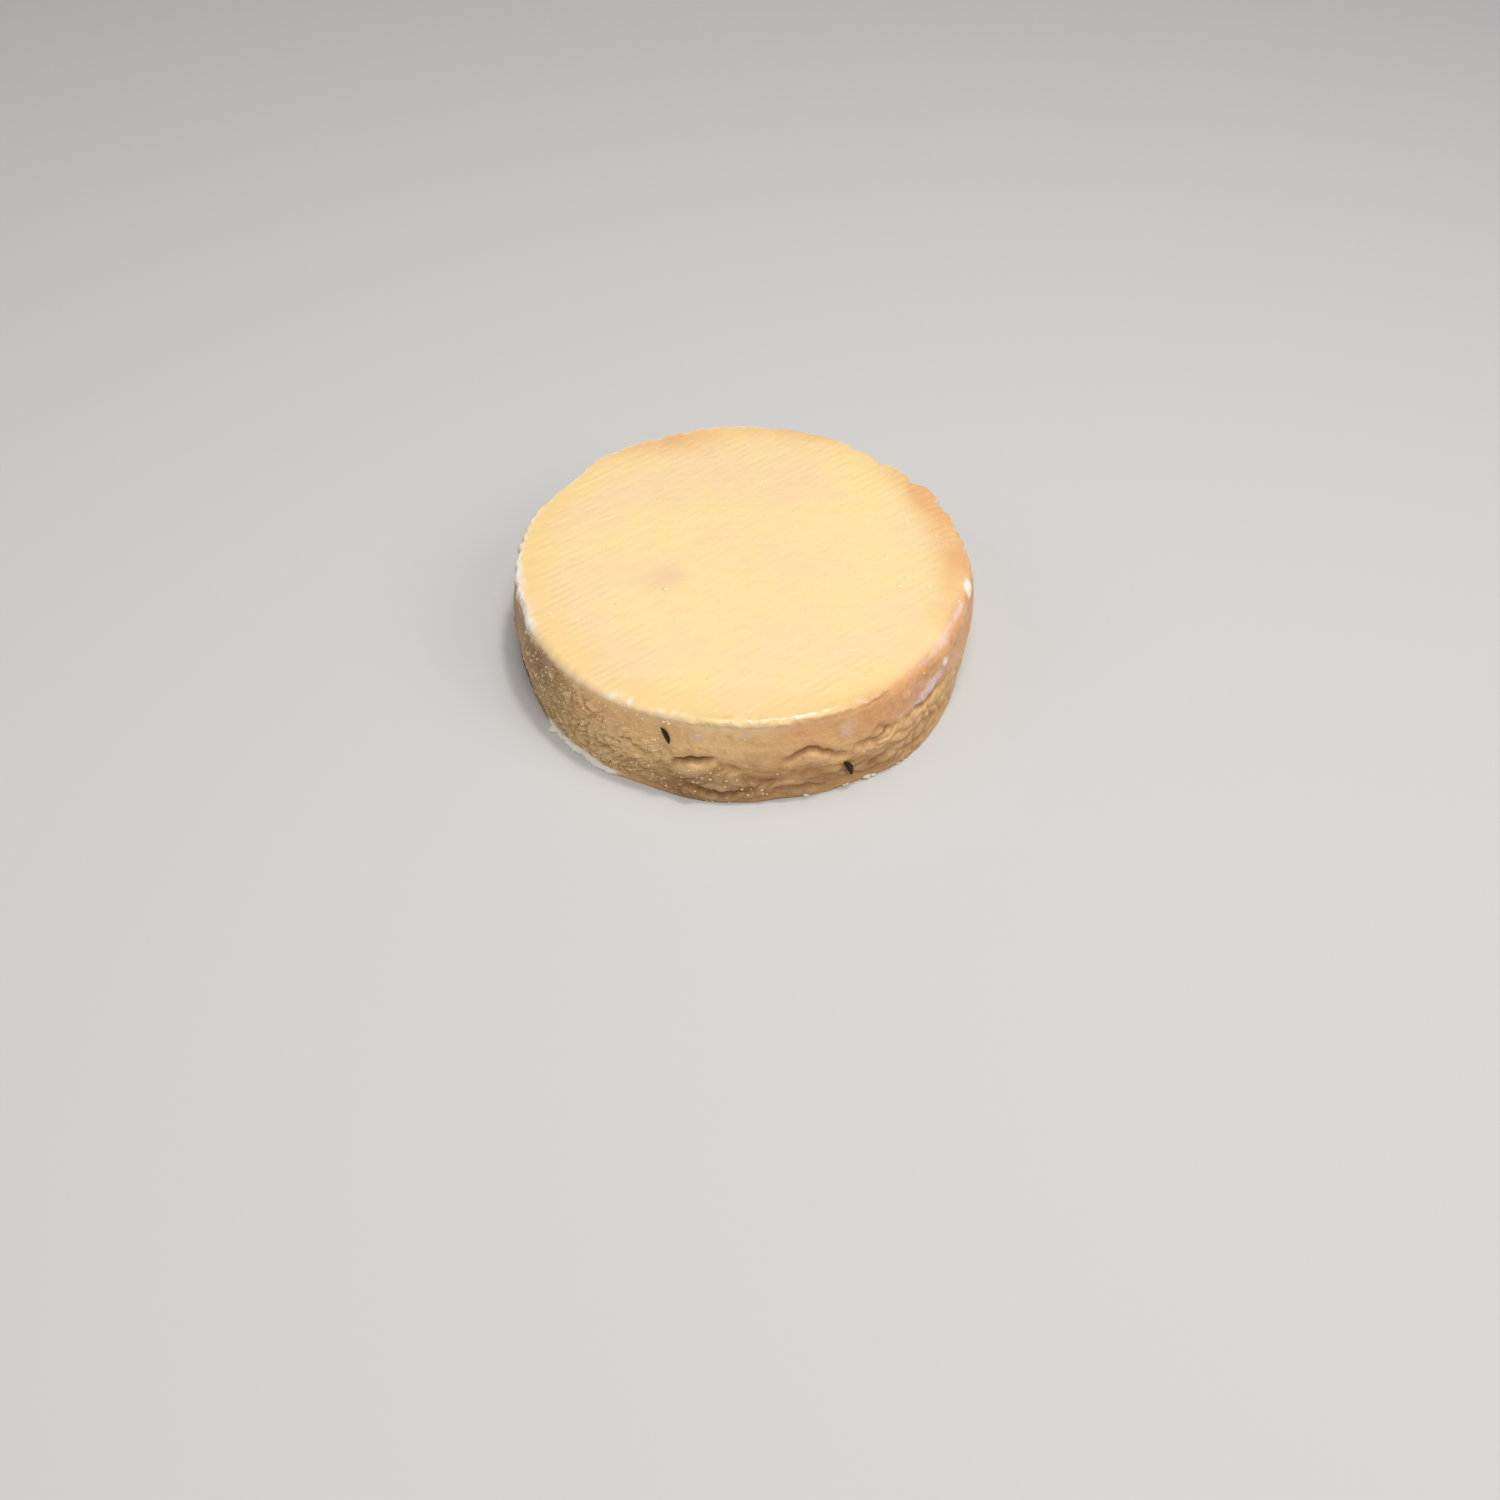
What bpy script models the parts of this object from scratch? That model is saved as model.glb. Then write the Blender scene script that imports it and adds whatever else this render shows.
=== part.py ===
"""A small washed-rind munster: a low round wheel, ridged on top and puckered round the side.

Two caraway seeds stick to it.

Blender 4.5, in metres, +Z up. The origin is the middle of the flat underside.
Angles round the wheel are in degrees, counter-clockwise from +X, so the front (-Y) is at 270.
"""

import math

import bmesh
import bpy
import numpy as np

# The wheel
DIAMETER = 0.1076
HEIGHT = 0.0234
TOP_LEAN = 0.0010  # how far the wall leans in at the top edge
FOOT_LEAN = 0.0004  # and at the foot
RELIEF_ROOM = 0.0003  # the plain wall lies this far inside the widest puckers
SHARP_EDGE = 0.0011  # rounding of the crisp edge at the left
SOFT_EDGE = 0.0046  # rounding of the slumped edge at the right
SOFT_EDGE_AT = 335
SOFT_EDGE_SPREAD = 70

# Ridges that the draining mat pressed into the top
RIDGE_PITCH = 0.0020
RIDGE_DEPTH = 0.00016
RIDGE_HEADING = 39  # degrees from +X along which the ridges run
TOP_SWELL = 0.00030
MAT_INSET = 0.0034

# Puckers and folds of the rind
PUCKER_DEPTH = 0.0010
PUCKER_TOP = 0.0150  # the rind is smooth above this height
PUCKER_FRONT_AT = 300
CREASE_WIDTH = 0.0011

# The foot, and the thin flange of rind that was pressed out at its left front
FOOT_LIP = 0.0003
FLANGE_OUT = 0.0008
FLANGE_THICK = 0.0012
FLANGE_AT = 227
FLANGE_SPREAD = 20
TORN_AT = 217.3  # the flange's torn corner
TORN_OUT = 0.0014
TORN_SPREAD = 2.4
FOOT_BUMP_TOP = 0.0140  # the foot's bumps and dents have faded out at this height

# Caraway seeds
SEED_LENGTH = 0.0052
SEED_WIDTH = 0.0012
SEED_THICK = 0.0011
SEED_BOW = 0.0004
SEED_PROUD = 0.0002  # its middle line lies this far outside the wall
SEEDS = (
    # angle, height, lean of the lower end to the right (degrees)
    (252.2, 0.0176, 21),
    (295.8, 0.0060, 23),
)

# Fineness of the solid
WALL_ROWS = 15
EDGE_ROWS = 3
CAP_REACH = 0.80  # share of the radius where the ridges' own lines stop
CAP_PARTS = 18  # steps from there to each end
CHORD_PARTS = 8
SEED_SIDES = 6
SEED_RINGS = 3

# Bumps and dents of the outline: angle, half width in degrees, how far out
OUTLINE_BUMPS = (
    (-6, 18, 0.0011),
    (20, 3.5, 0.0004),
    (36.5, 3.2, -0.0012),
    (50, 14, -0.0010),
    (48, 3, -0.0010),
    (57, 5, -0.0006),
    (82, 4.5, -0.0004),
    (107, 6, -0.0006),
    (114.5, 4.5, -0.0010),
    (133, 5, 0.0005),
    (145, 10, -0.0011),
    (154, 8, -0.0007),
    (196, 13, -0.0004),
    (268, 35, -0.0004),
    (318, 14, -0.0005),
)
FLAP_AT = 30.5
FLAP_SPREAD = 4.0
FLAP_OUT = 0.0009
FLAP_HEIGHT = 0.0060

# The same for the foot
FOOT_BUMPS = (
    (206, 20, -0.0011),
    (236, 5, 0.0006),
    (263, 19, 0.0012),
    (274, 6, 0.0004),
    (289, 18, 0.0006),
    (315, 20, 0.0018),
    (347, 27, -0.0019),
)

# Creases of the wall: depth, then points along the line as (angle, height in millimetres)
CREASES = (
    (0.0013, (253.6, 10.6), (256.0, 11.5), (259.6, 12.2), (262.5, 12.9), (264.4, 12.6)),
    (0.0005, (264.3, 11.8), (267.2, 11.1), (270.6, 10.2)),
    (0.0011, (279.0, 12.3), (281.4, 12.5), (284.9, 14.6), (287.6, 14.3), (289.6, 13.2), (293.4, 10.9)),
    (0.0008, (296.4, 11.1), (299.5, 12.1), (303.2, 11.7), (307.0, 12.9), (310.5, 12.2)),
    (0.0007, (311.0, 11.2), (315.7, 12.4), (321.3, 11.8), (325.0, 13.0), (329.0, 12.4)),
    (0.0009, (256.0, 4.4), (260.4, 3.9), (262.8, 3.0), (267.0, 2.8), (271.6, 4.0), (275.0, 4.8)),
    (0.0006, (277.0, 3.4), (281.2, 3.8), (286.0, 3.5), (291.2, 2.6)),
    (0.0005, (299.6, 2.8), (305.0, 2.3), (310.4, 2.5)),
    (0.0006, (301.0, 4.3), (304.5, 5.6), (307.4, 6.8)),
    (0.0006, (301.6, 13.4), (304.2, 14.9), (307.4, 12.7)),
    (0.0005, (271.0, 7.9), (275.5, 6.7), (279.4, 7.3)),
    (0.0004, (280.0, 7.9), (285.2, 8.2), (290.0, 7.2)),
    (0.0005, (240.0, 12.6), (243.0, 13.0), (247.0, 11.0), (250.4, 9.6)),
    (0.0003, (231.5, 7.6), (236.0, 7.9), (241.5, 6.5)),
    (0.0005, (331.0, 5.8), (336.0, 4.9), (342.0, 5.2)),
)
HIDDEN_CREASES = 16  # the far side is puckered like the near one
HIDDEN_FROM = -10
HIDDEN_TO = 178

# Single round lumps of the wall: angle, height, radius, how far out
LUMPS = (
    (258.8, 0.0095, 0.0022, 0.00070),
    (287.6, 0.0121, 0.0018, 0.00060),
    (280.6, 0.0058, 0.0020, 0.00045),
    (309.5, 0.0045, 0.0020, 0.00045),
    (266.5, 0.0052, 0.0024, 0.00040),
    (313.3, 0.0180, 0.0015, 0.00050),
    (244.7, 0.0105, 0.0022, 0.00045),
    (236.7, 0.0060, 0.0020, 0.00035),
)


def smooth(value, low, high):
    """0 below low, 1 above high, and an S curve between."""
    share = np.clip((value - low) / (high - low), 0, 1)
    return share * share * (3 - 2 * share)


def turn_from(angle, at):
    """Signed turn from one angle to another, in degrees, from -180 to 180."""
    return (angle - at + 180) % 360 - 180


def near(angle, at, spread):
    """A round bump: 1 at one angle and 0 beyond the spread."""
    turn = np.clip(turn_from(angle, at) / spread, -1, 1)
    return np.cos(turn * math.pi / 2) ** 2


def waves(angle, z, seed, count, turns, wavelength):
    """Smooth unevenness round the wall: a sum of sine waves, whole numbers of them round the wheel."""
    draw = np.random.RandomState(seed)
    total = np.zeros(np.broadcast(angle, z).shape)
    for _ in range(count):
        around = draw.randint(turns[0], turns[1] + 1)
        upward = 2 * math.pi / draw.uniform(*wavelength) * draw.choice((-1, 1))
        total += np.sin(around * np.radians(angle) + upward * z + draw.uniform(0, 2 * math.pi))
    return total * math.sqrt(2 / count)


def outline(angle, z):
    """Radius of the wheel before the rind's relief.

    Narrow bumps belong to the upper edge and fade below it."""
    radius = np.full(np.broadcast(angle, z).shape, DIAMETER / 2 - RELIEF_ROOM)
    for at, spread, out in OUTLINE_BUMPS:
        rise = 1 if spread > 10 else smooth(z, 0.35 * HEIGHT, 0.9 * HEIGHT)
        radius = radius + out * near(angle, at, spread) * rise
    return radius


def edge_round(angle):
    """Rounding of the upper edge: crisp at the left, slumped at the right."""
    return SHARP_EDGE + (SOFT_EDGE - SHARP_EDGE) * near(angle, SOFT_EDGE_AT, SOFT_EDGE_SPREAD)


def all_creases():
    """The creases of the near side, and about as many drawn at random for the far side."""
    draw = np.random.RandomState(5)
    found = list(CREASES)
    for start in np.linspace(HIDDEN_FROM, HIDDEN_TO, HIDDEN_CREASES):
        corners = draw.randint(4, 7)
        at = start + np.cumsum(draw.uniform(2.2, 5.0, corners))
        level = draw.choice((3.5, 8.0, 12.5)) + np.cumsum(draw.uniform(-1.3, 1.3, corners))
        found.append((draw.uniform(0.0006, 0.0012), *zip(at, np.clip(level, 1.6, 16.0))))
    return found


def crease_line(angle, points):
    """Height of a crease at each angle, eased from point to point, and how it fades at its ends."""
    at, level = np.array(points).T
    along = turn_from(angle, at[0])
    steps = at - at[0]
    piece = np.clip(np.searchsorted(steps, along, side="right") - 1, 0, len(at) - 2)
    share = smooth((along - steps[piece]) / (steps[piece + 1] - steps[piece]), 0, 1)
    line = (level[piece] + (level[piece + 1] - level[piece]) * share) / 1000
    return line, np.sin(math.pi * np.clip(along / steps[-1], 0, 1)) ** 0.6


def crease_relief(angle, z):
    """A groove along each crease, with a puffed lip under it and a slight swell over it."""
    relief = np.zeros(np.broadcast(angle, z).shape)
    for depth, *points in all_creases():
        line, fade = crease_line(angle, points)
        off = (z - line) / CREASE_WIDTH
        groove = np.exp(-(off**2))
        lip = 0.50 * np.exp(-(((off + 2.2) / 1.6) ** 2))
        swell = 0.28 * np.exp(-(((off - 2.2) / 1.8) ** 2))
        relief += fade * depth * (lip + swell - 0.85 * groove)
    return relief


def lump_relief(angle, z):
    """The single round lumps."""
    relief = np.zeros(np.broadcast(angle, z).shape)
    for at, height, radius, out in LUMPS:
        aside = np.radians(turn_from(angle, at)) * DIAMETER / 2
        relief += out * np.exp(-(aside**2 + (z - height) ** 2) / radius**2)
    return relief


def pucker_relief(angle, z):
    """Puffed folds of the lower wall, strongest at the front right, and a calmer band above."""
    folds = np.sqrt(waves(angle, z, 11, 14, (10, 26), (0.0065, 0.011)) ** 2 + 0.04) - 0.75
    swell = waves(angle, z, 23, 8, (3, 11), (0.03, 0.08))
    low = 1 - smooth(z, PUCKER_TOP - 0.005, PUCKER_TOP + 0.001)
    strength = 0.45 + 0.55 * near(angle, PUCKER_FRONT_AT, 75)
    return PUCKER_DEPTH * (0.75 * folds * strength * (0.12 + 0.88 * low) + 0.16 * swell)


def foot_relief(angle, z):
    """A small lip all round the foot, the pressed-out ragged flange, and the foot's bumps and dents."""
    low = 1 - smooth(z, 0.0004, FLANGE_THICK)
    ragged = 1 + 0.30 * waves(angle, 0, 31, 6, (25, 60), (1, 2))
    torn = TORN_OUT * np.clip(1 - np.abs(turn_from(angle, TORN_AT)) / TORN_SPREAD, 0, 1)
    flange = FLANGE_OUT * near(angle, FLANGE_AT, FLANGE_SPREAD) ** 0.6 * ragged + torn
    spread = sum(out * near(angle, at, half) for at, half, out in FOOT_BUMPS)
    return low * (FOOT_LIP + flange) + spread * (1 - smooth(z, 0.001, FOOT_BUMP_TOP))


def flap_relief(angle, z):
    """A flap of rind that stands out from the upper edge at the back right."""
    across = 1 - smooth(np.abs(turn_from(angle, FLAP_AT)), FLAP_SPREAD - 1.6, FLAP_SPREAD)
    return FLAP_OUT * across * smooth(z, HEIGHT - FLAP_HEIGHT, HEIGHT - 0.0015)


def wall_radius(angle, z):
    """Distance of the rind from the wheel's axis."""
    lean = TOP_LEAN * smooth(z, 0.55 * HEIGHT, HEIGHT) + FOOT_LEAN * (1 - smooth(z, 0, 0.35 * HEIGHT))
    relief = crease_relief(angle, z) + pucker_relief(angle, z) + lump_relief(angle, z)
    plain = outline(angle, z) - lean + foot_relief(angle, z) + flap_relief(angle, z)
    return plain + relief * smooth(z, 0, 0.0016)


def top_edge_radius(angle):
    """Where the flat top begins, inside the rounded edge."""
    rounding = edge_round(angle)
    return wall_radius(angle, HEIGHT - rounding) - rounding


def ridge_frame(x, y):
    """Turns a point so that its first number is across the ridges and its second along them."""
    heading = math.radians(RIDGE_HEADING)
    return x * math.sin(heading) - y * math.cos(heading), x * math.cos(heading) + y * math.sin(heading)


def top_height(x, y):
    """Height of the top: a slow swell, and the mat's ridges as a cosine across their heading.

    The ridges fade where the edge has slumped."""
    across, along = ridge_frame(x, y)
    swell = np.sin(46 * x + 1.1) * np.cos(38 * y - 0.7) + 0.6 * np.sin(71 * across + 55 * along)
    slumped = near(np.degrees(np.arctan2(y, x)), SOFT_EDGE_AT, SOFT_EDGE_SPREAD)
    kept = 1 - 0.8 * slumped * smooth(np.hypot(x, y), 0.36 * DIAMETER, 0.45 * DIAMETER)
    ridges = 0.5 * np.cos(2 * math.pi * across / RIDGE_PITCH) - 0.5
    return HEIGHT + TOP_SWELL * swell + RIDGE_DEPTH * ridges * kept


def mat_radius(angle):
    """The smooth curve, just inside the edge, where the lines that carry the ridges end."""
    return DIAMETER / 2 - TOP_LEAN - edge_round(angle) - MAT_INSET


def rim_turns(side):
    """Turns, from one end of the ridge frame to the other, of the points that share the rim's lines.

    Each crest and each valley of the ridges has one. The curve isn't a true circle, so
    cos(turn) = distance across / radius is solved by a few rounds. Equal steps fill the two ends."""
    half = RIDGE_PITCH / 2
    reach = int(CAP_REACH * mat_radius(SOFT_EDGE_AT) / half)
    across = np.arange(reach, -reach - 1, -1) * half
    turns = np.arccos(across / (DIAMETER / 2))
    for _ in range(20):
        turns = np.arccos(across / mat_radius(side * np.degrees(turns) + RIDGE_HEADING - 90))
    turns = side * np.degrees(turns)
    shares = np.arange(1, CAP_PARTS) / CAP_PARTS
    start = turns[0] * shares
    finish = side * 180 + (turns[-1] - side * 180) * shares[::-1]
    return np.concatenate([start, turns, finish])


def wheel_mesh():
    """The wheel: a wall of columns, a rounded upper edge, ridge lines over the top and a flat fan below."""
    turns = np.concatenate([[0], rim_turns(1), [180], rim_turns(-1)[::-1]])
    angles = turns + RIDGE_HEADING - 90
    columns = len(angles)
    chords = columns // 2 - 1

    rounding = edge_round(angles)
    shares = np.concatenate([[0, 0.03], np.linspace(0.075, 1, WALL_ROWS)])
    heights = shares[:, None] * (HEIGHT - rounding)
    radii = wall_radius(angles, heights)
    inner = top_edge_radius(angles)
    facing = np.radians(angles)
    inner_height = top_height(inner * np.cos(facing), inner * np.sin(facing))
    arc = np.radians(90 * np.arange(1, EDGE_ROWS + 1) / EDGE_ROWS)[:, None]
    mat = mat_radius(angles)
    mat_height = top_height(mat * np.cos(facing), mat * np.sin(facing))
    radii = np.vstack([radii, inner + (radii[-1] - inner) * np.cos(arc), mat])
    heights = np.vstack([heights, heights[-1] + (inner_height - heights[-1]) * np.sin(arc), mat_height])
    wall = np.stack([radii * np.cos(facing), radii * np.sin(facing), heights], axis=2)

    left, right = wall[-1, 1 : chords + 1], wall[-1, :chords + 1:-1]
    share = (np.arange(1, CHORD_PARTS) / CHORD_PARTS)[None, :, None]
    top = left[:, None] * (1 - share) + right[:, None] * share
    top[..., 2] = top_height(top[..., 0], top[..., 1])

    mesh = bmesh.new()
    rows = [[mesh.verts.new(point) for point in row] for row in wall]
    for below, above in zip(rows[:-1], rows[1:]):
        for i in range(columns):
            j = (i + 1) % columns
            mesh.faces.new((below[i], below[j], above[j], above[i]))
    edge = rows[-1]
    strips = [[edge[0]] * (CHORD_PARTS + 1)]
    for i in range(chords):
        inside = [mesh.verts.new(point) for point in top[i]]
        strips.append([edge[i + 1]] + inside + [edge[columns - 1 - i]])
    strips.append([edge[chords + 1]] * (CHORD_PARTS + 1))
    for near_line, far_line in zip(strips[:-1], strips[1:]):
        for k in range(CHORD_PARTS):
            ring = (near_line[k], far_line[k], far_line[k + 1], near_line[k + 1])
            corners = [corner for n, corner in enumerate(ring) if corner is not ring[n - 1]]
            mesh.faces.new(corners)
    middle = mesh.verts.new((0, 0, 0))
    for i in range(columns):
        mesh.faces.new((rows[0][(i + 1) % columns], rows[0][i], middle))
    bmesh.ops.triangulate(mesh, faces=mesh.faces[:])
    bmesh.ops.recalc_face_normals(mesh, faces=mesh.faces[:])
    return mesh


def seed_mesh(angle, height, lean):
    """A bowed spindle lying along the wall: rings of shrinking size between two tips."""
    tilt = math.radians(lean)
    along = height + np.linspace(-0.4, 0.4, 9) * SEED_LENGTH
    radius = float(wall_radius(np.full(9, float(angle)), along).mean()) + SEED_PROUD
    mesh = bmesh.new()
    rings = []
    for k in range(SEED_RINGS + 2):
        share = 2 * k / (SEED_RINGS + 1) - 1  # -1 at the upper tip, 1 at the lower
        bow = SEED_BOW * (1 - share**2)
        aside = share * SEED_LENGTH / 2 * math.sin(tilt) + bow * math.cos(tilt)
        down = share * SEED_LENGTH / 2 * math.cos(tilt) - bow * math.sin(tilt)
        z = height - down
        at = angle + math.degrees(aside / (DIAMETER / 2))
        out = np.array([math.cos(math.radians(at)), math.sin(math.radians(at)), 0])
        right = np.array([-out[1], out[0], 0])
        across = right * math.cos(tilt) + np.array([0, 0, math.sin(tilt)])
        centre = radius * out + np.array([0, 0, z])
        size = math.sqrt(max(0, 1 - abs(share) ** 1.7))
        if size == 0:
            rings.append([mesh.verts.new(centre)])
            continue
        turns = [2 * math.pi * n / SEED_SIDES for n in range(SEED_SIDES)]
        rings.append(
            [
                mesh.verts.new(
                    centre
                    + across * size * SEED_WIDTH / 2 * math.cos(turn)
                    + out * size * SEED_THICK / 2 * math.sin(turn)
                )
                for turn in turns
            ]
        )
    for first, second in zip(rings[:-1], rings[1:]):
        for n in range(SEED_SIDES):
            m = (n + 1) % SEED_SIDES
            ring = (
                first[n % len(first)],
                first[m % len(first)],
                second[m % len(second)],
                second[n % len(second)],
            )
            mesh.faces.new([corner for i, corner in enumerate(ring) if corner is not ring[i - 1]])
    bmesh.ops.triangulate(mesh, faces=mesh.faces[:])
    bmesh.ops.recalc_face_normals(mesh, faces=mesh.faces[:])
    return mesh


def placed(name, mesh, material, collection):
    """An object made from a bmesh, in a collection."""
    data = bpy.data.meshes.new(name)
    mesh.to_mesh(data)
    mesh.free()
    data.materials.append(material)
    obj = bpy.data.objects.new(name, data)
    collection.objects.link(obj)
    return obj


def rind_material():
    """Washed rind: a moist cream-yellow skin."""
    material = bpy.data.materials.new("rind")
    material.use_nodes = True
    shader = material.node_tree.nodes["Principled BSDF"]
    shader.inputs["Base Color"].default_value = (0.90, 0.66, 0.33, 1)
    shader.inputs["Roughness"].default_value = 0.45
    shader.inputs["Metallic"].default_value = 0.0
    return material


def seed_material():
    """Caraway: a dark brown husk."""
    material = bpy.data.materials.new("caraway")
    material.use_nodes = True
    shader = material.node_tree.nodes["Principled BSDF"]
    shader.inputs["Base Color"].default_value = (0.035, 0.017, 0.010, 1)
    shader.inputs["Roughness"].default_value = 0.5
    shader.inputs["Metallic"].default_value = 0.0
    return material


def fuse_seeds(wheel, seeds):
    """Joins the seeds to the wheel with one union, and removes what was joined."""
    union = wheel.modifiers.new("seeds", "BOOLEAN")
    union.operation = "UNION"
    union.operand_type = "COLLECTION"
    union.solver = "EXACT"
    union.collection = seeds
    bpy.context.view_layer.update()
    fused = bpy.data.meshes.new_from_object(wheel.evaluated_get(bpy.context.evaluated_depsgraph_get()))
    wheel.modifiers.remove(union)
    wheel.data = fused
    for obj in list(seeds.objects):
        bpy.data.objects.remove(obj)
    bpy.data.collections.remove(seeds)


def build():
    for obj in list(bpy.data.objects):
        bpy.data.objects.remove(obj)
    scene = bpy.context.scene.collection
    seeds = bpy.data.collections.new("seeds")
    scene.children.link(seeds)
    wheel = placed("cheese", wheel_mesh(), rind_material(), scene)
    husk = seed_material()
    for number, (angle, height, lean) in enumerate(SEEDS, 1):
        placed(f"seed_{number}", seed_mesh(angle, height, lean), husk, seeds)
    fuse_seeds(wheel, seeds)
    wheel.data.shade_smooth()
    wheel.data.set_sharp_from_angle(angle=math.radians(50))


build()
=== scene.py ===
# %% [markdown]
# # A small munster cheese
# A munster is a soft cheese whose rind is washed with brine until it turns yellow, ochre and orange.
# This one is a whole small wheel. Its top carries the ridges of the mat it drained on, its side has
# puckered while it ripened, and two caraway seeds stick to it. The lesson first makes the wheel as one
# closed skin from formulas, then paints that skin with masks that the same formulas give.

import math

import bpy
import numpy as np
from mathutils import Matrix, Vector


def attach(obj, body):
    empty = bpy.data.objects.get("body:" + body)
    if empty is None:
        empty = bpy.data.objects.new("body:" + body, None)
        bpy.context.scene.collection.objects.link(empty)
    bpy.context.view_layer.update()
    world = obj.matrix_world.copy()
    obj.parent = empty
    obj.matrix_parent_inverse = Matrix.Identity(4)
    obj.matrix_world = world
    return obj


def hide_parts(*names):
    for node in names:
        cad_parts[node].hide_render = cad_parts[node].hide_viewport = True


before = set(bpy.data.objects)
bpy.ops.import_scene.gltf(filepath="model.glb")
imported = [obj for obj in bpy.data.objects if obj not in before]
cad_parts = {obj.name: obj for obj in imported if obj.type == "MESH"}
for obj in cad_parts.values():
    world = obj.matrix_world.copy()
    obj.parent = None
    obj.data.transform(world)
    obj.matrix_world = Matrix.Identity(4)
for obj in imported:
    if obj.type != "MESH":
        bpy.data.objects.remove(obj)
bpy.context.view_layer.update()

# %% [markdown]
# ## Sizes
# Every length is in metres. Angles round the wheel are in degrees, counter-clockwise from +X, so the
# side that faces the camera is near 270. Keeping the sizes in one place lets the wheel be checked with
# a ruler, and the formulas below then read like sentences.

# %% Sizes of the wheel
DIAMETER = 0.1076
HEIGHT = 0.0234
TOP_LEAN = 0.0010
FOOT_LEAN = 0.0004
RELIEF_ROOM = 0.0003
SHARP_EDGE = 0.0015
SOFT_EDGE = 0.0046
SOFT_EDGE_AT = 335
SOFT_EDGE_SPREAD = 70
LEFT_ROUND, LEFT_ROUND_AT, LEFT_ROUND_SPREAD = 0.0008, 212, 48
FOOT_EDGE = 0.0005
RIDGE_PITCH = 0.0020
RIDGE_DEPTH = 0.00016
RIDGE_HEADING = 39
TOP_SWELL = 0.00030
MAT_INSET = 0.0034
PUCKER_DEPTH = 0.0009
PUCKER_TOP = 0.0150
CREASE_WIDTH = 0.00075
CREASE_WOBBLE = 0.00018
print("wheel, mm:", round(1000 * DIAMETER, 1), "across,", round(1000 * HEIGHT, 1), "high")

# %% [markdown]
# ## Soft steps, bumps and clouds
# Nothing on a cheese starts or stops sharply, so three small helpers shape everything else: a soft
# step, a round bump at one angle, and clouds. Clouds are sums of sine waves with seeded random
# directions. They could be a noise texture, but a texture moves only the shading, and these folds have
# to stand out from the outline too.

# %% Helpers for soft unevenness
def smooth(value, low, high):
    """0 below low, 1 above high, and the S curve 3t^2 - 2t^3 between."""
    share = np.clip((value - low) / (high - low), 0, 1)
    return share * share * (3 - 2 * share)


def turn_from(angle, at):
    """Signed turn from one angle to another, in degrees, from -180 to 180."""
    return (angle - at + 180) % 360 - 180


def near(angle, at, spread):
    """cos^2 of the turn away from an angle: 1 there and 0 beyond the spread."""
    turn = np.clip(turn_from(angle, at) / spread, -1, 1)
    return np.cos(turn * math.pi / 2) ** 2


def span_share(angle, first, last, soft=6):
    """1 over the turn from one angle on to another, with ends that fade over twice the softness."""
    half = ((last - first) % 360) / 2
    return 1 - smooth(np.abs(turn_from(angle, first + half)), half - soft, half + soft)


def waves(angle, z, seed, count, turns, wavelength):
    """Sum of sines of (whole number * angle + height * 2 pi / wavelength + start), about 1 in size."""
    draw = np.random.RandomState(seed)
    total = np.zeros(np.broadcast(angle, z).shape)
    for _ in range(count):
        around = draw.randint(turns[0], turns[1] + 1)
        upward = 2 * math.pi / draw.uniform(*wavelength) * draw.choice((-1, 1))
        total += np.sin(around * np.radians(angle) + upward * z + draw.uniform(0, 2 * math.pi))
    return total * math.sqrt(2 / count)


def clouds(x, y, z, size, seed, count=22):
    """Sum of plane sine waves through space, in random directions, with wavelengths near the size."""
    draw = np.random.RandomState(seed)
    total = np.zeros(np.broadcast(x, y, z).shape)
    for _ in range(count):
        way = draw.normal(size=3)
        way *= 2 * math.pi / np.linalg.norm(way) / (size * draw.uniform(0.7, 1.5))
        total += np.sin(way[0] * x + way[1] * y + way[2] * z + draw.uniform(0, 2 * math.pi))
    return total * math.sqrt(2 / count)


sample = waves(np.arange(360.0), 0.01, 1, 8, (3, 9), (0.01, 0.02))
print("waves run from", round(sample.min(), 2), "to", round(sample.max(), 2))

# %% [markdown]
# ## The outline
# A hand-moulded wheel is never a true circle. The outline adds named bumps and dents to a circle: two
# notches and a torn flap at the back right, a flat at the back left. The upper edge is crisp at the
# left, where the rind is firm, and slumps into a wide round at the right, where the paste is softest.
# A lattice or sculpted dents could do this too, but named bumps stay where the real ones are.

# %% Outline and upper edge
OUTLINE_BUMPS = (
    # angle, half width in degrees, how far out
    (-2, 16, 0.0010),
    (20, 3.5, 0.0004),
    (25, 2.2, -0.0004),
    (36.5, 3.2, -0.0012),
    (50, 14, -0.0010),
    (48, 3, -0.0010),
    (57, 5, -0.0006),
    (82, 4.5, -0.0004),
    (107, 6, -0.0006),
    (114.5, 4.5, -0.0010),
    (133, 5, 0.0005),
    (145, 10, -0.0011),
    (154, 8, -0.0007),
    (196, 13, -0.0004),
    (268, 35, -0.0004),
    (318, 14, -0.0005),
)
FLAP_AT, FLAP_SPREAD, FLAP_OUT, FLAP_HEIGHT = 30.5, 4.0, 0.0009, 0.0060
SCALLOPS = 0.00015
SMOOTH_FRONT_AT, SMOOTH_FRONT_SPREAD = 255, 75
NARROW_BUMP = 10


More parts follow.
